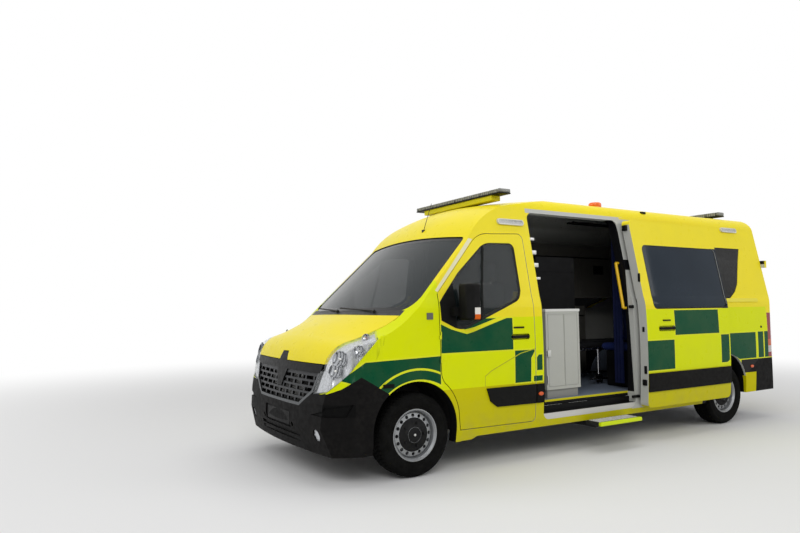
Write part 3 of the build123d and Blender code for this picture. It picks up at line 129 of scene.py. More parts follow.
def newNode(tree, kind, values, **settings):
    node = tree.nodes.new(f"ShaderNode{kind}")
    for key, value in settings.items():
        setattr(node, key, value)
    feed(tree, node, values)
    return node


def mathNode(tree, operation, *values):
    return newNode(tree, "Math", dict(enumerate(values)), operation=operation).outputs["Value"]


def times(tree, first, second):
    return mathNode(tree, "MULTIPLY", first, second)


def above(tree, value, edge):
    return mathNode(tree, "GREATER_THAN", value, edge)


def vectorNode(tree, operation, *values):
    node = newNode(tree, "VectorMath", dict(enumerate(values)), operation=operation)
    return node.outputs["Value" if operation in ("DOT_PRODUCT", "LENGTH") else "Vector"]


def dot(tree, first, second):
    return vectorNode(tree, "DOT_PRODUCT", first, second)


def objectPosition(tree):
    return newNode(tree, "TexCoord", {}).outputs["Object"]


def geometry(tree, kind):
    return newNode(tree, "NewGeometry", {}).outputs[kind]


def ownNormal(tree):  # the way a surface faces on its own piece, however its body is turned
    turn = {"vector_type": "NORMAL", "convert_from": "WORLD", "convert_to": "OBJECT"}
    return newNode(tree, "VectorTransform", {0: geometry(tree, "Normal")}, **turn).outputs[0]


def axes(tree, vector):  # its X, Y and Z
    return newNode(tree, "SeparateXYZ", {0: vector}).outputs


def noise(tree, scale, detail=3, roughness=0.5):
    values = {"Vector": objectPosition(tree), "Scale": scale, "Detail": detail, "Roughness": roughness}
    return newNode(tree, "TexNoise", values).outputs["Fac"]


def spread(tree, value, low, high, start=0.0, end=1.0, way="LINEAR"):  # value from start..end to low..high
    values = {"Value": value, "From Min": start, "From Max": end, "To Min": low, "To Max": high}
    return newNode(tree, "MapRange", values, interpolation_type=way).outputs["Result"]


def blendColour(tree, amount, first, second):
    return newNode(tree, "Mix", {0: amount, 6: first, 7: second}, data_type="RGBA").outputs[2]


def newFinish(name, colour, roughness, metallic=0.0):
    material = bpy.data.materials.new(name)
    material.use_nodes = True
    tree = material.node_tree
    shader = tree.nodes["Principled BSDF"]
    feed(tree, shader, {"Base Color": linear(*colour), "Roughness": roughness, "Metallic": metallic})
    return material, tree, shader


def addBump(tree, shader, height, strength, distance):
    bump = newNode(tree, "Bump", {"Height": height, "Strength": strength, "Distance": distance})
    feed(tree, shader, {"Normal": bump.outputs["Normal"]})


def plasticFinish(name, colour, roughness, dust, cloud, grain=0, bump=0, specular=0.5,
                  metallic=0, wear=None, zones=(), stripes=None):
    material, tree, shader = newFinish(name, colour, roughness, metallic)
    base = linear(*colour)
    dusty = tuple(channel * (1 - dust) + 0.2 * dust for channel in base[:3]) + (1,)
    shade = blendColour(tree, spread(tree, noise(tree, cloud, 4, 0.6), 0, 1, 0.38, 0.72), base, dusty)
    if wear:
        share, bare = wear
        edge = spread(tree, geometry(tree, "Pointiness"), 0, share, 0.53, 0.62)
        edge = times(tree, edge, spread(tree, noise(tree, 35, 3), 0, 1, 0.4, 0.7))
        shade = blendColour(tree, edge, shade, linear(*bare))
    position = objectPosition(tree)
    for zone in zones:
        shade = blendColour(tree, below(tree, boxDistance(tree, position, zone[:6])), shade, linear(*zone[6]))
    if stripes:
        axis, pitch, share, lineColour = stripes
        wave = mathNode(tree, "FRACT", times(tree, axes(tree, position)[axis], 1 / pitch))
        shade = blendColour(tree, below(tree, wave, share), shade, linear(*lineColour))
    rough = spread(tree, noise(tree, cloud * 3, 3), roughness - 0.08, roughness + 0.1, 0.3, 0.7)
    feed(tree, shader, {"Base Color": shade, "Roughness": rough, "Specular IOR Level": specular})
    if grain:
        addBump(tree, shader, noise(tree, grain, 2, 0.6), bump, 0.0006)
    return material


# ---- livery ----
paintLook = {
    "pale": (238, 220, 40),  # film on the roof, bonnet and pillars
    "lime": (216, 226, 0),  # bright blocks on the sides
    "low": (200, 192, 0),  # below the rub strip, darker than the paint above as painted shade
    "green": (0, 72, 44),
    "line": (222, 226, 40),  # thin edges between the film pieces
    "stripe": (232, 226, 186),  # film stripe up the windscreen pillar
    "jamb": (188, 189, 184),
    # dark trim inside doors, wings and arches; inside the sliding doorway it is painted shade
    "lining": (20, 20, 22),
    "crease": (176, 180, 40),  # the pressed line on the cab door, in shade
    "mottle": (150, 148, 90),
    "dust": (140, 130, 100),
    "corner": (20, 19, 18),
    "glossy": (30, 38, 50),
    "archRadius": 0.548, "lipRadius": 0.458, "wheelHeight": 0.34,  # metres from here on
    "lowTop": 0.700, "lineHalf": 0.006, "ringHalf": 0.009, "ringRear": 0.216, "rearDoors": 5.2,
}


def along(millimetres):
    return millimetres / 1000 + frontAxle


def boxDistance(tree, position, box):  # below 0 inside front, rear, left, right, low, high in mm
    front, rear, left, right, low, high = box
    middle = (along((front + rear) / 2), (left + right) / 2000, (low + high) / 2000)
    half = ((rear - front) / 2000, (right - left) / 2000, (high - low) / 2000)
    away = vectorNode(tree, "ABSOLUTE", vectorNode(tree, "SUBTRACT", position, middle))
    offset = axes(tree, vectorNode(tree, "SUBTRACT", away, half))
    return mathNode(tree, "MAXIMUM", mathNode(tree, "MAXIMUM", offset["X"], offset["Y"]), offset["Z"])


def blockDistance(tree, flat, block):  # the same in side view: front, rear, low, high
    front, rear, low, high = block
    return boxDistance(tree, flat, (front, rear, -99000, 99000, low, high))


def outlineDistance(tree, position, corners, across):  # below 0 inside a convex outline in metres; 0 is x, 1 is y
    edges = list(zip(corners, corners[1:] + corners[:1]))
    turn = 1 if sum(a[0] * b[1] - b[0] * a[1] for a, b in edges) > 0 else -1
    distances = []
    for start, end in edges:
        step = Vector((end[0] - start[0], end[1] - start[1])).normalized()
        normal = [0, 0, -step.x * turn]
        normal[across] = step.y * turn
        base = normal[across] * start[0] + normal[2] * start[1]
        distances.append(mathNode(tree, "SUBTRACT", dot(tree, position, normal), base))
    return joined(tree, "MAXIMUM", distances)


def shapeDistance(tree, flat, corners):  # the same in side view, from (station, height) corners in mm
    return outlineDistance(tree, flat, [(along(station), height / 1000) for station, height in corners], 0)


def frontDistance(tree, position, corners):  # the same in front view, from (side, height) corners in mm
    return outlineDistance(tree, position, [(side / 1000, height / 1000) for side, height in corners], 1)


def wheelDistance(tree, flat, station):  # from the axle's centre, metres
    return vectorNode(tree, "LENGTH", vectorNode(tree, "SUBTRACT", flat, (along(station), 0, paintLook["wheelHeight"])))


def below(tree, distance, edge=0.0):  # 1 where the distance is under the edge
    return mathNode(tree, "LESS_THAN", distance, edge)


def joined(tree, operation, values):  # the least or the most of several
    return reduce(lambda first, second: mathNode(tree, operation, first, second), values)


def rectangle(front, rear, low, high):
    return [(front, low), (rear, low), (rear, high), (front, high)]


greenShapes = (  # convex outlines of (station, height) corners in mm
    [(-690, 830), (-612, 884), (-500, 972), (226, 993), (226, 700), (-278, 700)],  # on the wing
    [(222, 1262), (222, 1003), (400, 1003), (400, 1188)],  # on the cab door
    [(222, 1244), (222, 1003), (560, 1003), (560, 1154)],
    [(440, 1003), (640, 1003), (640, 1202), (440, 1156)],
    [(520, 1003), (1030, 1003), (1030, 1300), (954, 1300), (746, 1240), (520, 1170)],
    [(1036, 700), (1240, 700), (1246, 1003), (1036, 1003)],
    [(1200, 900), (1230, 900), (1288, 980), (1288, 1003), (1200, 1003)],
    [(1302, 799), (1384, 799), (1384, 955), (1330, 955), (1302, 925)],
    rectangle(1262, 1384, 700, 762),
    rectangle(3172, 3968, 1070, 1345),  # on the sliding door
    rectangle(2700, 3161, 716, 1034),
    rectangle(3986, 4152, 737, 1062),
    rectangle(4172, 4925, 737, 1060),  # on the rear quarter
    rectangle(4962, 5090, 737, 1064),
    rectangle(5102, 5400, 737, 1064),
    [(432, 1226), (476, 1196), (580, 1214), (876, 1301), (700, 1301)],  # the wedge under the window
)
limeBlocks = (  # front, rear, low, high
    (-800, 228, 700, 1700), (1036, 1400, 700, 1302), (224, 1040, 690, 1003), (2700, 4160, 700, 1352),
    (4160, 5180, 700, 1362))
pillarStripe = [(200, 1540), (238, 1524), (683, 2012), (640, 2020)]
creaseLines = (
    ((690, 700), (697, 700), (697, 790), (690, 790)), ((690, 790), (697, 784), (765, 826), (758, 834)),
    ((758, 834), (765, 826), (904, 883), (899, 891)), ((899, 891), (904, 883), (1110, 966), (1107, 974)),
    ((1107, 974), (1110, 966), (1300, 1004), (1300, 1012)))


def liveryFinish(name, lining=None, plain=False, jambs=(), glossy=(), stripes=(), liningAndShade=(), corners=()):
    material, tree, shader = newFinish(name, paintLook["lime"], 0.3)
    position = objectPosition(tree)
    flat = vectorNode(tree, "MULTIPLY", position, (1, 0, 1))
    x, _, z = axes(tree, position)
    shade = linear(*paintLook["pale"])

    def tint(mask, colour):
        nonlocal shade
        shade = blendColour(tree, mask, shade, linear(*colour))

    def inside(outlines):  # 1 inside any of these side-view outlines
        return below(tree, joined(tree, "MINIMUM", [shapeDistance(tree, flat, outline) for outline in outlines]))

    if not plain:  # bright blocks, then green ones, then the thin lines between them
        limes = joined(tree, "MINIMUM", [blockDistance(tree, flat, block) for block in limeBlocks])
        tint(below(tree, limes), paintLook["lime"])
        # the paint below the rub strip, in a darker colour that carries painted shade
        tint(below(tree, z, paintLook["lowTop"]), paintLook["low"])
        wheel = joined(tree, "MINIMUM", [wheelDistance(tree, flat, station) for station in (0, wheelBase)])
        greens = joined(tree, "MINIMUM", [shapeDistance(tree, flat, outline) for outline in greenShapes])
        ring = mathNode(tree, "ABSOLUTE", mathNode(tree, "SUBTRACT", wheel, paintLook["archRadius"]))
        greens = mathNode(tree, "MAXIMUM", greens, mathNode(tree, "SUBTRACT", paintLook["lipRadius"], wheel))
        ahead = below(tree, x, paintLook["ringRear"] + frontAxle)
        frontRing = times(tree, below(tree, ring, paintLook["ringHalf"]), ahead)
        edges = below(tree, mathNode(tree, "ABSOLUTE", greens), paintLook["lineHalf"])
        tint(below(tree, greens), paintLook["green"])
        tint(mathNode(tree, "MAXIMUM", edges, frontRing), paintLook["line"])
        tint(inside(creaseLines), paintLook["crease"])
    for outline in stripes:
        tint(inside([outline]), paintLook["stripe"])
    tint(spread(tree, noise(tree, 5, 4, 0.6), 0.0, 0.05, 0.35, 0.7), paintLook["mottle"])
    dusty = spread(tree, noise(tree, 9, 5), 0, 1, 0.35, 0.75)
    tint(times(tree, spread(tree, z, 0.28, 0.0, 0.25, 0.62), dusty), paintLook["dust"])
    for blocks, colour in ((jambs, "jamb"), (corners, "corner")):
        for block in blocks:
            tint(below(tree, blockDistance(tree, flat, block)), paintLook[colour])
    rough = spread(tree, noise(tree, 14, 3), 0.26, 0.38, 0.3, 0.7)
    if glossy:
        dark = inside(glossy)
        tint(dark, paintLook["glossy"])
        rough = times(tree, rough, spread(tree, dark, 1, 0.2))
    if lining:  # what faces the inside of the body, or forward on a rear door, is lining
        facing = ownNormal(tree)
        centre = vectorNode(tree, "MULTIPLY", vectorNode(tree, "SUBTRACT", position, (0, 0, 0.6)), (0, 1, 1))
        outward = dot(tree, vectorNode(tree, "NORMALIZE", centre), facing)
        backward = dot(tree, facing, (1, 0, 0))
        atRear = above(tree, x, paintLook["rearDoors"] + frontAxle)
        backward = times(tree, backward, atRear)
        outward = mathNode(tree, "MAXIMUM", outward, backward)
        shade = blendColour(tree, above(tree, outward, 0.12), linear(*lining), shade)
    # near black over zones seen in front view: door and arch linings, and painted shade on the faces inside the sliding
    # doorway
    for block, outline in liningAndShade:
        behind = below(tree, frontDistance(tree, position, outline))
        tint(times(tree, below(tree, blockDistance(tree, flat, block)), behind), paintLook["lining"])
    feed(tree, shader, {"Base Color": shade, "Roughness": rough})
    feed(tree, shader, {"Specular IOR Level": 0.07, "Coat Weight": 0.035, "Coat Roughness": 0.08})
    addBump(tree, shader, noise(tree, 260, 2, 0.5), 0.04, 0.0003)
    return material


def dress(material, *names):
    for name in names:
        mesh = nodes[name].data
        mesh.materials.clear()
        mesh.materials.append(material)


doorLining = ((5150, 5286, 300, 2450), rectangle(-1100, 1100, 200, 2500))
archLining = ((3850, 4850, 200, 860), rectangle(-1005, 1005, 200, 860))
# the faces inside the sliding doorway, painted near black as painted shade
doorwayShade = ((2600, 2950, 500, 2330), [
    (-1004, 500), (-1003, 700), (-975, 1214), (-952, 1738), (-862, 2188), (-820, 2330), (-300, 2330), (-300, 500)])
doorwayJambs = ((1385, 2745, 2309, 2360), (2640, 2950, 330, 2330))
quarterPane = rectangle(4060, 4180, 1353, 2042)
bodyLook = {"stripes": [pillarStripe], "corners": [(4600, 5400, 575, 732)]}
jamb = paintLook["jamb"]
wingFilm = liveryFinish("liveryOnWings", paintLook["lining"])
dress(liveryFinish("liveryOnDoors", paintLook["lining"], liningAndShade=[doorLining]),
      "cab_door_left", "cab_door_right", "rear_door_left", "rear_door_right")
dress(wingFilm, "front_wings")
dress(liveryFinish("liveryOnBonnet", jamb, plain=True), "bonnet")
dress(liveryFinish("liveryOnBody", jamb, liningAndShade=[archLining], **bodyLook), "side_right", "roof")
leftSide = liveryFinish("liveryOnLeftSide", jamb, jambs=doorwayJambs, liningAndShade=[archLining, doorwayShade], **bodyLook)
dress(leftSide, "side_left")
dress(liveryFinish("liveryOnSlidingDoor", jamb, glossy=[quarterPane]), "sliding_door")
print("livery painted")

# ---- other finishes ----
finishLooks = {  # the nodes that wear it, colour, roughness, dust, cloud scale, grain scale, bump, specular
    "bumperPlastic": ("front_bumper rear_bumper", (9, 8, 8), 0.6, 0.012, 8, 1400, 0.25, 0.08),
    "grillePlastic": ("scuttle", (24, 24, 24), 0.45, 0.02, 9, 1200, 0.2, 0.4),
    "trimPlastic": ("wipers_aerial", (26, 24, 21), 0.62, 0.03, 10, 1500, 0.3, 0.35),
    "dashPlastic": ("dashboard steering_wheel", (30, 30, 32), 0.6, 0.02, 10, 900, 0.4, 0.4),
    "chassisPaint": ("underframe front_suspension rear_axle knuckle_left knuckle_right front_structure",
                     (18, 18, 19), 0.6, 0.05, 6, 400, 0.3, 0.3),
    "castMetal": ("engine radiator", (120, 120, 118), 0.45, 0.1, 8, 300, 0.4),
    # the bulkhead in dark grey: its panel darkened as painted shade of the van's inside
    "shadedBulkheadPanel": ("bulkhead", (44, 45, 47), 0.5, 0.03, 5, 700, 0.1, 0.4),
    "cabinetPanel": ("cabinet", (176, 177, 170), 0.45, 0.05, 5, 700, 0.06, 0.3),
    # mid grey: light grey locker panels darkened as painted shade of the van's inside
    "shadedLockerPanel": ("lockers", (92, 90, 85), 0.5, 0.04, 6, 500, 0.08, 0.06),
    "floorVinyl": ("floor_pan", (112, 122, 138), 0.5, 0.08, 30, 260, 0.2, 0.12),
    "mouldingPlastic": ("body_mouldings", (13, 12, 11), 0.62, 0.015, 10, 1500, 0.3, 0.08),
    "doorPlastic": ("door_trim_left door_trim_right", (12, 12, 11), 0.58, 0.015, 10, 1500, 0.3, 0.1),
    "railCover": ("slide_rails", (24, 24, 24), 0.4, 0.03, 10, 700, 0.1, 0.25),
    "bodyBlack": ("", (10, 10, 10), 0.5, 0.015, 12, 900, 0.15, 0.15),
    "lampChrome": ("", (206, 208, 212), 0.26, 0.0, 12, 0, 0, 0.3),
    "bulbGlass": ("", (236, 236, 230), 0.1, 0.0, 12),
    "platePlastic": ("", (214, 178, 30), 0.35, 0.04, 12, 600, 0.05),
    "crewCloth": ("", (20, 34, 84), 0.9, 0.03, 12, 1100, 0.6, 0.2),
    "mattressVinyl": ("", (20, 21, 24), 0.55, 0.03, 12, 800, 0.3, 0.3),
    "brightTube": ("stretcher", (190, 190, 194), 0.24, 0.02, 12),
    "railYellow": ("grab_rail", (232, 186, 14), 0.35, 0.03, 12, 500, 0.05),
    "stepAlloy": ("side_step", (20, 20, 21), 0.5, 0.05, 12, 300, 0.2, 0.3),
    "gripPad": ("", (200, 200, 196), 0.5, 0.06, 14, 500, 0.2, 0.3),
    "bowlMirror": ("", (168, 170, 174), 0.22, 0.0, 20),
    "curtainCloth": ("", (10, 18, 52), 0.9, 0.02, 8, 900, 0.5, 0.15),
    "meshDark": ("", (8, 8, 8), 0.6, 0.02, 12, 700, 0.2, 0.2),
    "wheelSteel": ("rim_front_left rim_front_right rim_rear_left rim_rear_right",
                   (150, 152, 154), 0.38, 0.08, 12, 300, 0.1),
    "capPlastic": ("", (13, 13, 14), 0.55, 0.03, 14, 700, 0.2, 0.15),
    "tyreRubber": ("tyre_front_left tyre_front_right tyre_rear_left tyre_rear_right",
                   (10, 10, 9), 0.85, 0.02, 14, 500, 0.3, 0.07),
    "seatCloth": ("cab_seats crew_seat mattress", (26, 28, 36), 0.9, 0.03, 12, 1200, 0.6, 0.2),
    "beaconLens": ("beacon", (240, 108, 10), 0.15, 0.0, 12),
    "redLens": ("tail_lamps", (140, 14, 12), 0.15, 0.02, 12),
    "barLens": ("lightbar rear_lightbar", (132, 132, 116), 0.15, 0.04, 8, 0, 0, 0.4),
    "barFoot": ("", (214, 204, 20), 0.4, 0.03, 8, 500, 0.05, 0.1),
    "barCap": ("", (120, 121, 116), 0.2, 0.04, 8, 0, 0, 0.4),
    "lampLens": ("headlamps", (190, 194, 198), 0.16, 0.02, 10),
    "strobeLens": ("strobes", (186, 188, 186), 0.25, 0.03, 10),
    "strobeBezel": ("", (206, 205, 198), 0.35, 0.04, 10, 700, 0.05),
    "sealRubber": ("", (16, 16, 16), 0.7, 0.03, 14, 900, 0.2, 0.3),
    "amberLens": ("", (214, 84, 10), 0.2, 0.02, 12),
    "mirrorGlass": ("", (170, 176, 180), 0.04, 0.0, 4),
    "latchMetal": ("", (196, 196, 192), 0.35, 0.04, 12, 500, 0.1),
}
moreLooks = {  # metal, rubbed edges, stripes (axis, spacing, share, colour), zones (a box for boxDistance, colour)
    "bumperPlastic": {"zones": (
        (4690, 4915, -1040, -985, 330, 575, (200, 190, 0)),
        (4690, 4915, 985, 1040, 330, 575, (200, 190, 0)),
        (-900, -740, -288, 288, 400, 538, (4, 4, 4)),
        (-790, -560, -1010, -700, 545, 640, (4, 4, 4)),
        (-790, -560, 700, 1010, 545, 640, (4, 4, 4)),), "wear": (0.25, (40, 38, 36))},
    "chassisPaint": {"wear": (0.3, (92, 70, 52))},
    "castMetal": {"metallic": 0.8},
    "cabinetPanel": {"zones": (
        (1500, 2200, -900, -400, 1340, 1372, (214, 214, 210)),
        (1500, 2200, -900, -400, 490, 581, (140, 140, 136)),)},
    "shadedLockerPanel": {"zones": (
        # a black unit on the wall, with the recess round it in painted shade
        (1500, 2300, -800, -300, 1300, 2000, (8, 8, 9)),)},
    "floorVinyl": {"zones": (
        (1300, 2700, -1100, -915, 330, 395, (204, 203, 198)),
        (1300, 2700, -1100, -915, 395, 482, (8, 8, 8)),
        (1300, 2700, -1100, -906, 482, 504, (206, 196, 30)),
        (3850, 4830, -1100, -700, 0, 1100, (14, 14, 14)),
        (3850, 4830, 700, 1100, 0, 1100, (14, 14, 14)),)},
    "mouldingPlastic": {"zones": (
        (70, 160, -1200, 1200, 1285, 1360, (104, 104, 98)),)},
    "doorPlastic": {"zones": (
        (436, 500, -1240, -1226, 1336, 1392, (225, 222, 214)),
        (436, 500, -1240, -1226, 1288, 1336, (214, 96, 24)),
        (436, 500, 1226, 1240, 1336, 1392, (225, 222, 214)),
        (436, 500, 1226, 1240, 1288, 1336, (214, 96, 24)),)},
    "railCover": {"zones": (
        (2800, 5100, -1100, -980, 1400, 1480, (226, 214, 56)),)},
    "lampChrome": {"metallic": 0.25},
    "brightTube": {"metallic": 1.0},
    "stepAlloy": {"zones": (
        (1915, 2515, -1240, -1205, 240, 295, (206, 226, 0)),)},
    "bowlMirror": {"metallic": 0.8, "stripes": (1, 0.022, 0.35, (78, 80, 84))},
    "wheelSteel": {"metallic": 0.6},
    "redLens": {"stripes": (2, 0.012, 0.12, (90, 8, 8)), "zones": (
        (5100, 5400, -1100, 1100, 800, 880, (196, 190, 186)),
        (5100, 5400, -1100, 1100, 880, 960, (200, 84, 14)),)},
    "barLens": {"stripes": (1, 0.03, 0.3, (60, 60, 54))},
    "lampLens": {"metallic": 0.6},
    "strobeLens": {"stripes": (0, 0.013, 0.22, (120, 118, 104))},
    "mirrorGlass": {"metallic": 1.0},
    "latchMetal": {"metallic": 0.5},
}
finishes = {"wingFilm": wingFilm}
for name, (wearers, *look) in finishLooks.items():
    finishes[name] = plasticFinish(name, *look, **moreLooks.get(name, {}))
    dress(finishes[name], *wearers.split())


def glassFinish(name, colour, clear, edgeOpaque, border=None, specular=0.5):  # border: outline, printed width in mm
    material, tree, shader = newFinish(name, colour, 0.04)
    facing = newNode(tree, "LayerWeight", {"Blend": 0.35}).outputs["Facing"]
    clearness = spread(tree, facing, clear, edgeOpaque, 0.1, 0.9)
    shade = blendColour(tree, spread(tree, noise(tree, 2, 3), 0, 0.5, 0.4, 0.7), linear(*colour),
                        linear(*(value + 12 for value in colour)))
    if border:
        corners, width = border
        printed = above(tree, frontDistance(tree, objectPosition(tree), corners), -width / 1000)
        clearness = mathNode(tree, "MAXIMUM", clearness, printed)
        shade = blendColour(tree, printed, shade, linear(12, 12, 13))
    rough = spread(tree, noise(tree, 3, 3), 0.03, 0.07, 0.3, 0.7)
    feed(tree, shader, {"Base Color": shade, "Roughness": rough, "Alpha": clearness, "Specular IOR Level": specular})
    return material


def grilleFinish(look):  # black band, lighter slotted field, bright lip round the lower edge; faces that do not face forward, like the slot walls, get painted shade
    material, tree, shader = newFinish("grilleFinish", look["band"], 0.42)
    position = objectPosition(tree)
    rim = frontDistance(tree, position, look["outline"])
    low = below(tree, axes(tree, position)["Z"], look["fieldTop"] / 1000)
    field = times(tree, below(tree, rim, -look["edge"] / 1000), low)
    shade = blendColour(tree, field, linear(*look["band"]), linear(*look["bars"]))
    boss = below(tree, frontDistance(tree, position, look["boss"]))
    shade = blendColour(tree, boss, shade, linear(*look["band"]))
    lip = times(tree, above(tree, rim, -look["edge"] / 1000), low)
    shade = blendColour(tree, lip, shade, linear(*look["lip"]))
    # faces turned away from the front, the slot walls among them, are painted near black as painted shade
    frontFacing = above(tree, dot(tree, ownNormal(tree), (-1, 0, 0)), 0.35)
    shade = blendColour(tree, frontFacing, linear(12, 12, 12), shade)
    rough = spread(tree, noise(tree, 30, 3), 0.34, 0.5, 0.3, 0.7)
    feed(tree, shader, {"Base Color": shade, "Roughness": rough, "Specular IOR Level": 0.1})
    addBump(tree, shader, noise(tree, 1200, 2, 0.6), 0.15, 0.0004)
    return material


screenHalf = [(868, 1368), (928, 1412), (952, 1500), (856, 1990), (838, 2026), (800, 2042), (420, 2068), (0, 2078)]
screenOutline = screenHalf + [(-side, height) for side, height in reversed(screenHalf[:-1])]
grilleLook = {
    "outline": [(-742, 946), (742, 946), (655, 724), (450, 600), (-450, 600), (-655, 724)], "edge": 24,
    "boss": [(-135, 900), (135, 900), (74, 800), (40, 728), (-40, 728), (-74, 800)], "fieldTop": 876,
    "band": (10, 10, 11), "bars": (62, 63, 65), "lip": (96, 98, 100),
}
glassLooks = {  # the nodes that wear it, colour, how opaque it is face on and edge on, printed border, specular
    "clearGlass": ("cab_glass_left cab_glass_right", (30, 38, 39), 0.45, 0.92, None, 0.22),
    "screenGlass": ("windscreen", (34, 42, 44), 0.5, 0.92, (screenOutline, 34), 0.3),
    "lampGlass": ("", (200, 204, 206), 0.03, 0.30),
    "privacyGlass": ("side_glass sliding_glass rear_glass_left rear_glass_right", (24, 36, 48), 0.95, 0.99, None, 0.12),
}
for name, (wearers, *look) in glassLooks.items():
    finishes[name] = glassFinish(name, *look)
    dress(finishes[name], *wearers.split())
dress(grilleFinish(grilleLook), "grille")
print("finishes given")

# ---- modelling helpers ----
weld = 0.00002  # how near two corners are made one, metres


def clearSelection():
    if bpy.context.object and bpy.context.object.mode != "OBJECT":
        bpy.ops.object.mode_set(mode="OBJECT")
    bpy.ops.object.select_all(action="DESELECT")


def pick(piece):
    clearSelection()
    piece.select_set(True)
    bpy.context.view_layer.objects.active = piece


@contextmanager
def editing(piece=None, everything=False):
    if piece:
        pick(piece)
    bpy.ops.object.mode_set(mode="EDIT")
    if everything:
        bpy.ops.mesh.select_all(action="SELECT")
    yield
    bpy.ops.object.mode_set(mode="OBJECT")


def placed():  # the new object, with its place and size moved into its vertices
    bpy.ops.object.transform_apply(location=True, rotation=True, scale=True)
    return bpy.context.object


def modify(piece, kind, **settings):  # a modifier set and applied; the piece is the active one
    modifier = piece.modifiers.new(kind.lower(), kind)
    for key, value in settings.items():
        setattr(modifier, key, value)
    bpy.ops.object.modifier_apply(modifier=modifier.name)


slotFor = {  # the slot for each finish, lamp_lens for any other; settle looks it up but gives no piece a slot
    "tyreRubber": "tyre", "capPlastic": "wheel_steel", "latchMetal": "bright_tube", "sealRubber": "black_plastic",
    "bodyBlack": "black_plastic", "meshDark": "black_plastic", "wingFilm": "lime_paint", "platePlastic": "lime_paint",
    "barFoot": "lime_paint", "barCap": "bar_lens", "barLens": "bar_lens", "beaconLens": "amber_lens",
    "amberLens": "amber_lens", "gripPad": "step_alloy", "curtainCloth": "seat_fabric", "seatCloth": "seat_fabric",
    "crewCloth": "seat_fabric", "mattressVinyl": "seat_fabric",
}


def settle(piece, name, finish, smooth=35, body="root", slot=None):
    pick(piece)
    placed()
    piece.name = piece.data.name = name
    piece.data.materials.clear()
    piece.data.materials.append(finishes[finish])
    bpy.ops.object.shade_smooth_by_angle(angle=math.radians(smooth))
    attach(piece, body)
    slot or slotFor.get(finish, "lamp_lens")
    return piece


def bevelEdges(piece, width, segments=3, limit=40):
    pick(piece)
    modify(piece, "BEVEL", width=width, segments=segments, limit_method="ANGLE", angle_limit=math.radians(limit))


def cube(place, size):
    clearSelection()
    bpy.ops.mesh.primitive_cube_add(size=1, location=place, scale=size)
    return placed()


def bar(front, rear, left, right, low, high, edge=0.004):  # a bevelled bar between stations, sides and heights, mm
    size = ((rear - front) / 1000, (right - left) / 1000, (high - low) / 1000)
    piece = cube((along((front + rear) / 2), (left + right) / 2000, (low + high) / 2000), size)
    bevelEdges(piece, min(edge, min(size) * 0.45))
    return piece


def boltHead(radius, depth, place, edge):  # six-sided, on an axle's line
    clearSelection()
    turn = (math.pi / 2, 0, 0)
    bpy.ops.mesh.primitive_cylinder_add(vertices=6, radius=radius, depth=depth, location=place, rotation=turn)
    piece = placed()
    bevelEdges(piece, edge, 2)
    return piece


def row(piece, count, step):  # the active piece repeated along a step
    modify(piece, "ARRAY", count=count, use_relative_offset=False, use_constant_offset=True,
           constant_offset_displace=step)


def discard(piece):
    pick(piece)
    bpy.ops.object.delete()


def lathe(profile, centre, axis, steps):  # (radius, distance along the axis) points in metres, turned about the axis
    clearSelection()
    axis = Vector(axis).normalized()
    outward = axis.orthogonal().normalized()
    first = Vector(centre) + outward * profile[0][0] + axis * profile[0][1]
    bpy.ops.mesh.primitive_plane_add(size=0.001, location=first)
    piece = placed()
    with editing():
        bpy.ops.mesh.select_mode(type="VERT")
        bpy.ops.mesh.select_all(action="SELECT")
        bpy.ops.mesh.merge(type="CENTER")
        for start, end in zip(profile, profile[1:]):
            step = outward * (end[0] - start[0]) + axis * (end[1] - start[1])
            bpy.ops.mesh.extrude_region_move(TRANSFORM_OT_translate={"value": step})
        bpy.ops.mesh.select_all(action="SELECT")
        bpy.ops.mesh.spin(steps=steps, angle=2 * math.pi, center=centre, axis=axis)
        bpy.ops.mesh.select_all(action="SELECT")
        bpy.ops.mesh.remove_doubles(threshold=weld)
        bpy.ops.mesh.normals_make_consistent(inside=False)
        bpy.ops.mesh.select_mode(type="FACE")
    return piece


def join(pieces):
    clearSelection()
    for piece in pieces:
        piece.select_set(True)
    bpy.context.view_layer.objects.active = pieces[0]
    bpy.ops.object.join()
    return pieces[0]


def turnedCopies(piece, count, centre, axis=(0, 1, 0)):  # the piece repeated round an axis, in one mesh
    with editing(piece, everything=True):
        bpy.ops.mesh.spin(steps=count, dupli=True, angle=2 * math.pi, center=centre, axis=axis)
        bpy.ops.mesh.select_all(action="SELECT")
        bpy.ops.mesh.remove_doubles(threshold=weld)
    return piece


bpy.context.tool_settings.mesh_select_mode = (False, False, True)  # faces

# ---- wheels ----
tyreLook = {
    "outer": 0.345, "pitches": 60, "crown": 18, "crownFrom": 0.07,
    "profile": ((0.204, 0.082), (0.216, 0.100), (0.224, 0.106), (0.231, 0.1055), (0.236, 0.109), (0.262, 0.1122),
                (0.284, 0.1123), (0.288, 0.1112), (0.304, 0.1105), (0.307, 0.1114), (0.318, 0.1075), (0.329, 0.100),
                (0.3355, 0.090), (0.3365, 0.080)),
    "ribs": ((0.0, 0.026, 0.0), (0.034, 0.028, 0.5), (-0.034, 0.028, 0.5), (0.070, 0.030, 0.2), (-0.070, 0.030, 0.2)),
    "block": {"share": 0.80, "height": 0.0098, "sink": 0.005},
    "lug": {"share": 0.62, "offset": 0.0965, "radius": 0.3325, "width": 0.022, "height": 0.017, "outside": 0.1,
            "drop": 0.012, "tuck": 0.001},
    "clear": 0.0002,  # how far the tread stays under the tyre's radius
}
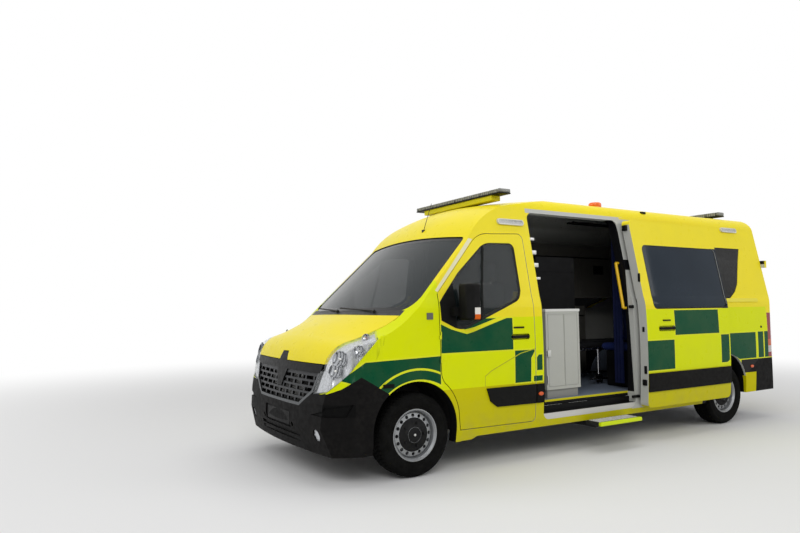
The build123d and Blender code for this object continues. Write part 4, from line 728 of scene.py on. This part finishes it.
hubLook = {
    "cover": ((0.0, 0.0925), (0.010, 0.0925), (0.013, 0.0905), (0.054, 0.0915), (0.066, 0.0895), (0.080, 0.0780),
              (0.086, 0.0745), (0.128, 0.0735), (0.138, 0.0700), (0.1395, 0.0640), (0.132, 0.0630), (0.080, 0.0640),
              (0.0, 0.0640)),
    "nuts": 5, "nutCircle": 0.100, "nutRadius": 0.011, "nutDepth": 0.016, "nutOffset": 0.076,
    "boltRadius": 0.012, "boltDepth": 0.008, "boltOffset": 0.0935,
}


def treadBlocks(look, centre):  # one pitch of the tread: a block on each rib and a lug over each shoulder
    pitch = 2 * math.pi / look["pitches"]
    block, lug = look["block"], look["lug"]
    blocks = []
    for offset, width, shift in look["ribs"]:
        place = (centre[0], centre[1] + offset, centre[2] + look["outer"] - block["sink"])
        blocks.append(cube(place, (look["outer"] * pitch * block["share"], width, block["height"])))
        with editing(everything=True):
            bpy.ops.transform.rotate(value=shift * pitch, orient_axis="Y", center_override=centre)
    for way in (-1, 1):
        place = (centre[0], centre[1] + way * lug["offset"], centre[2] + lug["radius"])
        blocks.append(cube(place, (look["outer"] * pitch * lug["share"], lug["width"], lug["height"])))
        for vertex in blocks[-1].data.vertices:
            if (vertex.co.y - centre[1]) * way > lug["outside"]:
                vertex.co.z -= lug["drop"]
                vertex.co.y -= way * lug["tuck"]
    return join(blocks)


def makeWheel(name, station, y, side):
    look, hub, body = tyreLook, hubLook, f"wheel_{name}"
    centre = (along(station), side * y, look["outer"])
    outboard = list(look["profile"])
    inboard = [(radius, -offset) for radius, offset in reversed(outboard)]
    carcass = lathe(outboard + inboard + [outboard[0]], centre, (0, side, 0), 112)
    treads = turnedCopies(treadBlocks(look, centre), look["pitches"], centre)
    for vertex in treads.data.vertices:  # the tread is crowned, and stays inside the tyre's own radius
        away = Vector((vertex.co.x - centre[0], 0, vertex.co.z - centre[2]))
        past = max(0, abs(vertex.co.y - centre[1]) - look["crownFrom"])
        most = look["outer"] - look["crown"] * past ** 2 - look["clear"]
        if away.length > most:
            vertex.co = Vector(centre) + away.normalized() * most + Vector((0, vertex.co.y - centre[1], 0))
    tyre = join([carcass, treads])
    settle(tyre, f"treaded_tyre_{name}", "tyreRubber", 30, body)
    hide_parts(f"tyre_{name}")
    cover = lathe(hub["cover"], centre, (0, side, 0), 72)
    place = (centre[0] + hub["nutCircle"], centre[1] + side * hub["nutOffset"], centre[2])
    nuts = turnedCopies(boltHead(hub["nutRadius"], hub["nutDepth"], place, 0.002), hub["nuts"], centre)
    settle(join([cover, nuts]), f"hub_cover_{name}", "capPlastic", 30, body)
    place = (centre[0], centre[1] + side * hub["boltOffset"], centre[2])
    bolt = boltHead(hub["boltRadius"], hub["boltDepth"], place, 0.0025)
    settle(bolt, f"hub_bolt_{name}", "latchMetal", 30, body, "wheel_steel")


for end, station in (("front", 0), ("rear", wheelBase)):
    for side, sign in handed:
        makeWheel(f"{end}_{side}", station, 0.865, sign)
print("wheels made")

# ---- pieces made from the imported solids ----
def looseCopies(node):  # each solid of a CAD node as a merged mesh of its own
    clearSelection()
    copied = bpy.data.objects.new(f"{node}_copy", nodes[node].data.copy())
    bpy.context.collection.objects.link(copied)
    with editing(copied, everything=True):
        bpy.ops.mesh.remove_doubles(threshold=0.00005)
        bpy.ops.mesh.separate(type="LOOSE")
    found = list(bpy.context.selected_objects)
    return [piece for piece in found if len(piece.data.polygons) > 8]


def reach(piece):  # lowest and highest corner
    spots = [vertex.co for vertex in piece.data.vertices]
    return [Vector([pickOne(spot[axis] for spot in spots) for axis in range(3)]) for pickOne in (min, max)]


def selectFaces(piece, chooser):
    for face in piece.data.polygons:
        face.select = bool(chooser(face))


def shell(piece, thickness, offset=-1.0):
    pick(piece)
    modify(piece, "SOLIDIFY", thickness=thickness, offset=offset, use_even_offset=True)


sealLook = {"width": {"cab": 0.024, "side": 0.016, "rear": 0.022}, "lift": 0.0015, "facing": 0.5}


def glassSeal(node, look, kind, body="root", axis=1):  # a rubber frame laid over the edge of each pane
    for number, pane in enumerate(looseCopies(node)):
        low, high = reach(pane)
        way = 1 if low[axis] + high[axis] > 0 else -1
        selectFaces(pane, lambda face: abs(face.normal[axis]) > look["facing"])
        with editing():
            bpy.ops.mesh.delete(type="FACE")
        shell(pane, look["width"][kind])
        pane.location[axis] += way * look["lift"]
        settle(pane, f"seal_{node}_{number}", "sealRubber", 40, body)


for side in sides:
    glassSeal(f"cab_glass_{side}", sealLook, "cab", f"cab_door_{side}")
glassSeal("sliding_glass", sealLook, "side")
glassSeal("side_glass", sealLook, "side")
for side in sides:
    glassSeal(f"rear_glass_{side}", sealLook, "rear", f"rear_door_{side}", axis=0)
print("window seals made")

headlampLook = {
    "bowls": ((-705, 903, 910, 57), (-675, 918, 1003, 61), (-537, 985, 1064, 41), (-415, 870, 1160, 29)),
    "axis": (-0.76, 0.6, 0.24), "amberBowl": 3,
    "fogTop": 0.6, "coverFront": -775,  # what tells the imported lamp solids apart
    "parts": {"fog": ("fog_lamp", "lampChrome", 30), "cover": ("headlamp_cover", "lampGlass", 40),
              "housing": ("headlamp_housing", "lampChrome", 30)},
    "ringRadius": 0.044, "ringPlace": (-762, 0.735, 0.392),
    "gasketWidth": 0.005, "gasketLift": 0.0012, "gasketFacing": 0.42, "skirtLift": 0.0008,
    "wingEdge": ((-756, 736), (-604, 880), (-519, 988), (-358, 1158), (-300, 1216)),  # under the lamp, side view
}


def lampSolids(look):  # a copy of each packed lamp solid, with its kind, side and sign
    for part in looseCopies("headlamps"):
        low, high = reach(part)
        kind = "fog" if high.z < look["fogTop"] else "cover" if low.x < along(look["coverFront"]) else "housing"
        yield part, kind, *handed[0 if low.y < 0 else 1]


def lampCovers(look):
    for part, kind, side, sign in lampSolids(look):
        if kind == "cover":
            yield part, side, sign
        else:
            discard(part)


def lampAxis(look, sign):
    return Vector((look["axis"][0], sign * look["axis"][1], look["axis"][2]))


def makeHeadlamps(look):
    for part, kind, side, sign in lampSolids(look):
        name, finish, smooth = look["parts"][kind]
        settle(part, f"{name}_{side}", finish, smooth)
        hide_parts("headlamps")
    for side, sign in handed:
        axis = lampAxis(look, sign)
        mirrors, bulbs = [], []
        for station, y, z, radius in look["bowls"]:
            centre = (along(station), sign * y / 1000, z / 1000)
            size = radius / 1000
            bowl = ((size - 0.001, -0.013), (size + 0.004, -0.0125), (size + 0.005, -0.015), (size - 0.0005, -0.018),
                    (size * 0.86, -0.0245), (size * 0.5, -0.0285), (0.006, -0.0295), (0.006, -0.0285),
                    (size * 0.5, -0.0265), (size * 0.84, -0.0215), (size - 0.001, -0.013))
            bulb = ((0.0, -0.006), (size * 0.10, -0.0075), (size * 0.17, -0.012), (size * 0.17, -0.0275),
                    (0.0, -0.0275))
            mirrors.append(lathe(bowl, centre, axis, 18))
            bulbs.append(lathe(bulb, centre, axis, 20))
        amber = bulbs.pop(look["amberBowl"])
        settle(join(mirrors), f"reflectors_{side}", "bowlMirror", 12)
        settle(join(bulbs), f"bulbs_{side}", "bulbGlass", 40)
        settle(amber, f"indicator_bulb_{side}", "amberLens", 40)
        radius, (station, y, z) = look["ringRadius"], look["ringPlace"]
        edge = ((radius, 0.0), (radius + 0.004, 0.001), (radius + 0.004, -0.012), (radius - 0.004, -0.012),
                (radius, 0.0))
        settle(lathe(edge, (along(station), sign * y, z), (-1, 0, 0), 48), f"fog_ring_{side}", "bodyBlack", 40)


def lampGaskets(look):  # a dark strip along the edge of each lamp cover
    for cover, side, sign in lampCovers(look):
        axis = lampAxis(look, sign)
        selectFaces(cover, lambda face: abs(face.normal.dot(axis)) > look["gasketFacing"])
        with editing(cover):
            bpy.ops.mesh.delete(type="FACE")
        shell(cover, look["gasketWidth"])
        cover.location += axis * look["gasketLift"]
        settle(cover, f"headlamp_gasket_{side}", "sealRubber", 40)


def lampSkirts(look):  # the strip of wing below the lamp, laid over the CAD lamp's outer edge
    corners = [Vector((along(station), 0, height / 1000)) for station, height in look["wingEdge"]]
    for cover, side, sign in lampCovers(look):
        strips = []
        for start, end in zip(corners, corners[1:]):
            strip = bpy.data.objects.new("strip", cover.data.copy())
            bpy.context.collection.objects.link(strip)
            way = (end - start).normalized()
            cuts = [(start, Vector((-way.z, 0, way.x)))]
            if start is not corners[0]:
                cuts.append((start, Vector((-1, 0, 0))))
            if end is not corners[-1]:
                cuts.append((end, Vector((1, 0, 0))))
            with editing(strip):
                for place, normal in cuts:
                    bpy.ops.mesh.select_all(action="SELECT")
                    bpy.ops.mesh.bisect(plane_co=place, plane_no=normal, clear_outer=True, use_fill=True)
            if strip.data.polygons:
                strips.append(strip)
        discard(cover)
        skirt = join(strips)
        with editing(skirt, everything=True):
            bpy.ops.transform.shrink_fatten(value=look["skirtLift"])
        settle(skirt, f"lamp_skirt_{side}", "wingFilm", 40)


makeHeadlamps(headlampLook)
lampGaskets(headlampLook)
lampSkirts(headlampLook)
print("headlamps made")

# ---- mirrors, markers and locks ----
mirrorLook = {"front": 485.3, "rear": 488.5, "inner": 1067, "outer": 1219, "low": 1305, "high": 1579}
markerPlaces = {  # station, side, height, length, height and depth of the lens, mm
    "pillar": (1340, 1046.5, 590, 60, 34, 8), "bumper": (4821, 1033, 646, 62, 34, 8),
}
markerSteps = ((0.004, -0.002), (0.003, 0.0025))  # how far in and how far out each ring of the lens lies, metres


def makeMirrorGlass(look):
    for side, sign in handed:
        edges = sorted((sign * look["inner"], sign * look["outer"]))
        plate = bar(look["front"], look["rear"], *edges, look["low"], look["high"], 0.001)
        settle(plate, f"mirror_glass_{side}", "mirrorGlass", 30, f"cab_door_{side}")


def makeMarker(name, place, sign):  # an oval lens with a rim
    station, y, z, length, height, depth = place
    clearSelection()
    bpy.ops.mesh.primitive_cylinder_add(
        vertices=40, radius=0.5, depth=1, location=(along(station), sign * y / 1000, z / 1000),
        rotation=(sign * -math.pi / 2, 0, 0), scale=(length / 1000, height / 1000, depth / 1000))
    piece = placed()
    selectFaces(piece, lambda face: face.normal.y * sign > 0.9)
    with editing():
        for rim, lift in markerSteps:
            bpy.ops.mesh.inset(thickness=rim)
            bpy.ops.transform.translate(value=(0, sign * lift, 0))
    bevelEdges(piece, 0.0012, 2, 30)
    settle(piece, name, "amberLens", 40)


makeMirrorGlass(mirrorLook)
for side, sign in handed:
    for kind, place in markerPlaces.items():
        makeMarker(f"{kind}_marker_{side}", place, sign)
capLook = {
    "centre": (along(5047), -1.0365, 1.115),
    "profile": ((0.0, 0.004), (0.008, 0.004), (0.010, 0.002), (0.013, 0.003), (0.015, 0.0), (0.015, -0.006),
                (0.0, -0.006)),
}
settle(lathe(capLook["profile"], capLook["centre"], (0, -1, 0), 32), "fuel_lock_cap", "bodyBlack")
print("mirrors and markers made")

# ---- roof lamps ----
barLooks = {  # foot: front, rear, half its width, low
    "lightbar": {
        "x": (1150, 1300), "half": 740, "foot": (1168, 1282, 598, 2452), "low": 2502, "high": 2555, "modules": 10},
    "rear_lightbar": {
        "x": (4795, 4925), "half": 700, "foot": (4818, 4902, 558, 2474), "low": 2512, "high": 2573, "modules": 9},
}
barShape = {"tray": 13, "cap": 33, "spineInset": 46, "spineDepth": 8, "endGap": 36, "windowRim": 0.007}


def makeLightbar(name, look):  # a tray on a plinth with a row of ribbed lamp modules and end caps
    x0, x1 = look["x"]
    half, low, high = look["half"], look["low"], look["high"]
    footFront, footRear, footHalf, footLow = look["foot"]
    shape, gap = barShape, barShape["endGap"]
    tray = bar(x0 + 1, x1 - 1, -half + 1, half - 1, low, low + shape["tray"], 0.005)
    foot = bar(footFront, footRear, -footHalf, footHalf, footLow, low + 2, 0.004)
    caps = [bar(x0 + 2, x1 - 2, *sorted((way * (half - 1), way * (half - 1 - shape["cap"]))), low + 12, high - 3, 0.012)
            for way in (-1, 1)]
    inset = shape["spineInset"]
    spine = bar(x0 + inset, x1 - inset, -half + gap, half - gap, high - shape["spineDepth"], high, 0.003)
    base = settle(join([tray, spine]), f"{name}_tray", "bodyBlack")
    settle(foot, f"{name}_foot", "barFoot")
    settle(join(caps), f"{name}_caps", "barCap")
    pitch = 2 * (half - gap) / look["modules"]
    module = bar(x0 + 3, x1 - 3, -half + gap + 1, -half + gap + pitch - 4, low + 12, high - 4, 0.010)
    selectFaces(module, lambda face: abs(face.normal.x) > 0.9)
    with editing():
        bpy.ops.mesh.inset(thickness=shape["windowRim"])
        bpy.ops.transform.resize(value=(0.97, 1, 1), center_override=(along((x0 + x1) / 2), 0, 0))
    row(module, look["modules"], (0, pitch / 1000, 0))
    settle(module, f"{name}_modules", "barLens", 30)
    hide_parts(name)


for name, look in barLooks.items():
    makeLightbar(name, look)

beaconLook = {
    "centre": (along(2757), -0.5, 2.481),
    "foot": ((0.0, 0.0), (0.079, 0.0), (0.080, 0.004), (0.080, 0.014), (0.076, 0.020), (0.0, 0.020)),
    "dome": ((0.0, 0.019), (0.0705, 0.019), (0.0715, 0.026), (0.0695, 0.028), (0.0715, 0.036), (0.0695, 0.038),
             (0.0715, 0.046), (0.0695, 0.048), (0.0705, 0.060), (0.066, 0.071), (0.056, 0.0785), (0.030, 0.081),
             (0.0, 0.081)),
}
settle(lathe(beaconLook["foot"], beaconLook["centre"], (0, 0, 1), 64), "beacon_foot", "bodyBlack")
beaconDome = settle(lathe(beaconLook["dome"], beaconLook["centre"], (0, 0, 1), 64), "beacon_dome", "beaconLens")
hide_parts("beacon")

strobeLook = {
    "facing": 0.7, "rim": 0.009, "sink": 0.004, "lens": 0.003, "lensSink": 0.0012,
    "endMargin": 0.008, "halfHeight": 0.012,
}


def makeStrobes(look):  # each housing keeps the CAD solid's outline; its lens is set back inside a rim
    for number, housing in enumerate(looseCopies("strobes")):
        low, high = reach(housing)
        middle = (low + high) / 2
        way = 1 if low.y > 0 else -1
        with editing(housing, everything=True):
            bpy.ops.mesh.dissolve_limited(angle_limit=math.radians(2))
        selectFaces(housing, lambda face: face.normal.y * way > look["facing"])
        with editing():
            bpy.ops.mesh.inset(thickness=look["rim"])
            bpy.ops.mesh.duplicate()
            bpy.ops.mesh.separate(type="SELECTED")
        lens = [piece for piece in bpy.context.selected_objects if piece is not housing][0]
        selectFaces(housing, lambda face: face.normal.y * way > look["facing"]
                    and abs(face.center.x - middle.x) < (high.x - low.x) / 2 - look["endMargin"]
                    and abs(face.center.z - middle.z) < look["halfHeight"])
        with editing(housing):
            bpy.ops.mesh.extrude_region_move(TRANSFORM_OT_translate={"value": (0, way * -look["sink"], 0)})
        settle(housing, f"strobe_housing_{number}", "strobeBezel", 30)
        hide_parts("strobes")
        shell(lens, look["lens"])
        lens.location.y -= way * look["lensSink"]
        settle(lens, f"strobe_lens_{number}", "strobeLens", 30)


makeStrobes(strobeLook)
print("roof lamps made")

# ---- doorway, step and fittings ----
fittings = (  # name, finish, front, rear, left, right, low, high, edge
    ("blind_latch_1", "latchMetal", 1392, 1452, -890, -868, 2034, 2062, 0.004),
    ("blind_latch_2", "latchMetal", 1392, 1452, -915, -893, 1896, 1936, 0.004),
    ("blind_latch_3", "latchMetal", 1392, 1452, -939, -917, 1772, 1812, 0.004),
    ("blind_latch_4", "latchMetal", 1392, 1450, -964, -944, 1652, 1676, 0.004),
    ("door_roller", "bodyBlack", 2700, 2726, -965, -905, 2190, 2252, 0.008),
    ("door_lock_plate", "bodyBlack", 2712, 2724, -1106, -1078, 1640, 1730, 0.006),
    ("door_pin", "bodyBlack", 2712, 2724, -1138, -1112, 1120, 1172, 0.006),
    ("door_guide_high", "bodyBlack", 2710, 2724, -1152, -1120, 690, 772, 0.006),
    ("door_guide_low", "bodyBlack", 2706, 2724, -1148, -1096, 570, 632, 0.008),
    ("jamb_catch", "bodyBlack", 2640, 2700, -1034, -1006, 1366, 1398, 0.006),
    ("jamb_guide", "bodyBlack", 2640, 2748, -1034, -1008, 438, 466, 0.006),
    ("cabinet_latch", "latchMetal", 1606, 1650, -876, -864, 902, 966, 0.003),
    ("cabinet_hinge", "latchMetal", 1600, 1612, -874, -862, 640, 720, 0.003),
    ("ceiling_lamp", "bodyBlack", 2820, 3560, -120, 0, 2378, 2397, 0.006),
    ("wall_rail_high", "bodyBlack", 1840, 4100, 468, 480, 2022, 2038, 0.004),
    ("wall_rail_low", "bodyBlack", 1540, 3690, 548, 560, 1262, 1280, 0.004),
    ("wall_control", "bodyBlack", 3791, 3979, 466, 480, 1815, 1931, 0.006),
    ("intake_backing", "meshDark", -786, -776, -470, 470, 288, 384, 0.003),
    ("roof_aerial_foot", "bodyBlack", 3172, 3246, -806, -764, 2424, 2450, 0.010),
    ("number_plate", "meshDark", -826, -822, -262, 262, 412, 524, 0.002),
)
for name, finish, *sizes in fittings:
    settle(bar(*sizes), name, finish)
plateLook = {"box": (5344, 5354.5, -760, -240, 700, 812), "edge": 0.003, "rim": 0.006, "sink": 0.0015}
rearPlate = bar(*plateLook["box"], plateLook["edge"])
selectFaces(rearPlate, lambda face: face.normal.x > 0.9)
with editing():
    bpy.ops.mesh.inset(thickness=plateLook["rim"])
    bpy.ops.transform.translate(value=(-plateLook["sink"], 0, 0))
settle(rearPlate, "rear_plate", "platePlastic", body="rear_door_left")

stepLook = {
    "front": 1938, "outer": -1196, "low": 286, "high": 292, "length": 33, "width": 36,
    "pitch": 46, "count": 12, "rows": 3,
}


def makeStepRibs(look):  # raised grip pads in rows on the folding step
    rib = bar(look["front"], look["front"] + look["length"], look["outer"], look["outer"] + look["width"],
              look["low"], look["high"], 0.003)
    row(rib, look["count"], (look["pitch"] / 1000, 0, 0))
    row(rib, look["rows"], (0, look["pitch"] / 1000, 0))
    settle(rib, "step_grips", "gripPad")


makeStepRibs(stepLook)
print("fittings made")

curtainLook = {
    "station": 2778, "y": (-812, -692), "low": 560, "folds": 3, "depth": 14, "sway": 0.4, "swayTurns": 3,
    "gather": 0.35, "rail": 16, "railHalf": 20, "railPast": 20, "railSink": 3, "cloth": 0.002,
}


def ceilingAbove(station, side):  # underside of the roof, mm
    start = Vector((along(station), side / 1000, 2.0))
    return nodes["roof"].ray_cast(start, Vector((0, 0, 1)))[1].z * 1000


def hangCurtain(look):  # drawn curtain beside the doorway: one cloth in pleats under a rail that the roof carries
    (left, right), station, half, past = look["y"], look["station"], look["railHalf"], look["railPast"]
    ceiling = min(ceilingAbove(station, side) for side in (left - 16, right + 16))
    railLow = ceiling - look["rail"]
    rail = bar(station - half, station + half, left - past, right + past, railLow, ceiling + look["railSink"], 0.003)
    settle(rail, "curtain_rail", "latchMetal")
    low, high = look["low"], railLow + 1
    clearSelection()
    bpy.ops.mesh.primitive_grid_add(x_subdivisions=60, y_subdivisions=36, size=1)
    sheet = bpy.context.object
    for vertex in sheet.data.vertices:
        share, height = vertex.co.x + 0.5, vertex.co.y + 0.5
        sway = look["sway"] * math.sin(look["swayTurns"] * height) * share
        wave = math.sin(share * look["folds"] * 2 * math.pi + sway)
        x = along(station + look["depth"] * (1 - look["gather"] * height) * wave)
        vertex.co = Vector((x, (left + (right - left) * share) / 1000, (low + height * (high - low)) / 1000))
    shell(sheet, look["cloth"], 0)
    settle(sheet, "door_curtain", "curtainCloth", 60)


hangCurtain(curtainLook)

# ---- seats and mattress ----
padLook = {  # each pad: front, rear, left, right, low, high in mm; edge, voxel and cap in m; seams: axis, place, width
    "cab": {
        "cushion": {"box": (728, 1205, -232, 232, 905, 1008), "edge": 0.035, "voxel": 0.015, "cap": 0.011,
                    "seams": ((1, -0.115, 0.012), (1, 0.115, 0.012), (0, 0.060, 0.012))},
        "back": {"box": (1158, 1262, -232, 232, 1012, 1632), "edge": 0.035, "voxel": 0.015, "cap": 0.010,
                 "seams": ((1, -0.115, 0.012), (1, 0.115, 0.012), (2, 0.12, 0.012), (2, -0.10, 0.012))},
        "headrest": {"box": (1186, 1264, -124, 124, 1645, 1842), "edge": 0.028, "voxel": 0.012, "cap": 0.008,
                     "seams": ((1, 0.0, 0.010),)},
    },
    "crew": {
        "cushion": {"box": (2868, 3205, -812, -408, 905, 972), "edge": 0.026, "voxel": 0.014, "cap": 0.009,
                    "seams": ((1, -0.10, 0.012), (1, 0.10, 0.012))},
        "back": {"box": (3202, 3262, -772, -448, 980, 1552), "edge": 0.024, "voxel": 0.014, "cap": 0.008,
                 "seams": ((1, -0.08, 0.012), (1, 0.08, 0.012), (2, 0.10, 0.012))},
    },
    "mattress": {"box": (2592, 4478, -313, 193, 906, 983), "edge": 0.022, "voxel": 0.018, "cap": 0.007,
                 "seams": ((0, -0.33, 0.014), (0, 0.24, 0.014))},
}
clothLook = {"steps": 12, "quality": 5, "mass": 0.2, "stretch": 30, "bend": 2, "pressure": 4, "seamDepth": 0.006}


def inflate(piece, cap, look):  # blown up a little as cloth; no point moves more than the cap
    before = [vertex.co.copy() for vertex in piece.data.vertices]
    cloth = piece.modifiers.new("cloth", "CLOTH")
    settings = cloth.settings
    settings.quality, settings.mass, settings.bending_stiffness = look["quality"], look["mass"], look["bend"]
    settings.tension_stiffness = settings.compression_stiffness = look["stretch"]
    settings.use_pressure, settings.uniform_pressure_force = True, look["pressure"]
    settings.effector_weights.gravity = 0
    cloth.collision_settings.use_collision = False
    cloth.point_cache.frame_start, cloth.point_cache.frame_end = 1, look["steps"]
    for number in range(1, look["steps"] + 1):
        bpy.context.scene.frame_set(number)
    pick(piece)
    bpy.ops.object.modifier_apply(modifier=cloth.name)
    bpy.context.scene.frame_set(1)
    for vertex, start in zip(piece.data.vertices, before):
        travel = vertex.co - start
        if travel.length > cap:
            vertex.co = start + travel.normalized() * cap


def addPad(name, look, finish, shift, node):  # a sewn pad: blown up, then its seams drawn in
    front, rear, left, right, low, high = look["box"]
    left, right = left + shift, right + shift
    piece = bar(front, rear, left, right, low, high, look["edge"])
    modify(piece, "REMESH", mode="VOXEL", voxel_size=look["voxel"], use_smooth_shade=True)
    inflate(piece, look["cap"], clothLook)
    modify(piece, "SUBSURF", levels=1)
    middle = Vector((along((front + rear) / 2), (left + right) / 2000, (low + high) / 2000))
    for vertex in piece.data.vertices:
        away = [abs(vertex.co[axis] - middle[axis] - place) / width for axis, place, width in look["seams"]]
        depth = clothLook["seamDepth"] * max(0, 1 - min(away)) ** 2
        if depth:
            vertex.co -= vertex.normal * depth
    settle(piece, name, finish, 60)
    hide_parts(node)


baseLook = {
    "cab": (780, 1180, -200, 200, 502, 898), "crew": (2902, 3238, -798, -462, 502, 898), "edge": 0.02,
    "rim": 0.03, "recess": 0.006, "seatSide": 440, "postSide": 55, "postHalf": 6, "post": (1214, 1226, 1600, 1665),
}


def addSeats(look, bases):
    edge, half = bases["edge"], bases["postHalf"]
    front, rear, left, right, low, high = bases["cab"]
    postFront, postRear, postLow, postHigh = bases["post"]
    for side, sign in handed:
        middle = sign * bases["seatSide"]
        for part, form in look["cab"].items():
            addPad(f"cab_seat_{part}_{side}", form, "seatCloth", middle, "cab_seats")
        base = bar(front, rear, middle + left, middle + right, low, high, edge)
        selectFaces(base, lambda face: abs(face.normal.y) > 0.9)
        with editing():
            bpy.ops.mesh.inset(thickness=bases["rim"])
            bpy.ops.mesh.extrude_region_shrink_fatten(TRANSFORM_OT_shrink_fatten={"value": -bases["recess"]})
        settle(base, f"cab_seat_base_{side}", "bodyBlack")
        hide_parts("cab_seats")
        places = [middle + way * bases["postSide"] for way in (-1, 1)]
        posts = [bar(postFront, postRear, place - half, place + half, postLow, postHigh, 0.005) for place in places]
        settle(join(posts), f"headrest_posts_{side}", "latchMetal")
    for part, form in look["crew"].items():
        addPad(f"crew_seat_{part}", form, "crewCloth", 0, "crew_seat")
    base = settle(bar(*bases["crew"], edge), "crew_seat_base", "bodyBlack")
    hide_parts("crew_seat")
    addPad("stretcher_mattress", look["mattress"], "mattressVinyl", 0, "mattress")


addSeats(padLook, baseLook)
print("seats made")

addLights(lightLook)
addFloor(lightLook)
bpy.context.scene.view_settings.view_transform = "Standard"
print("studio lit")
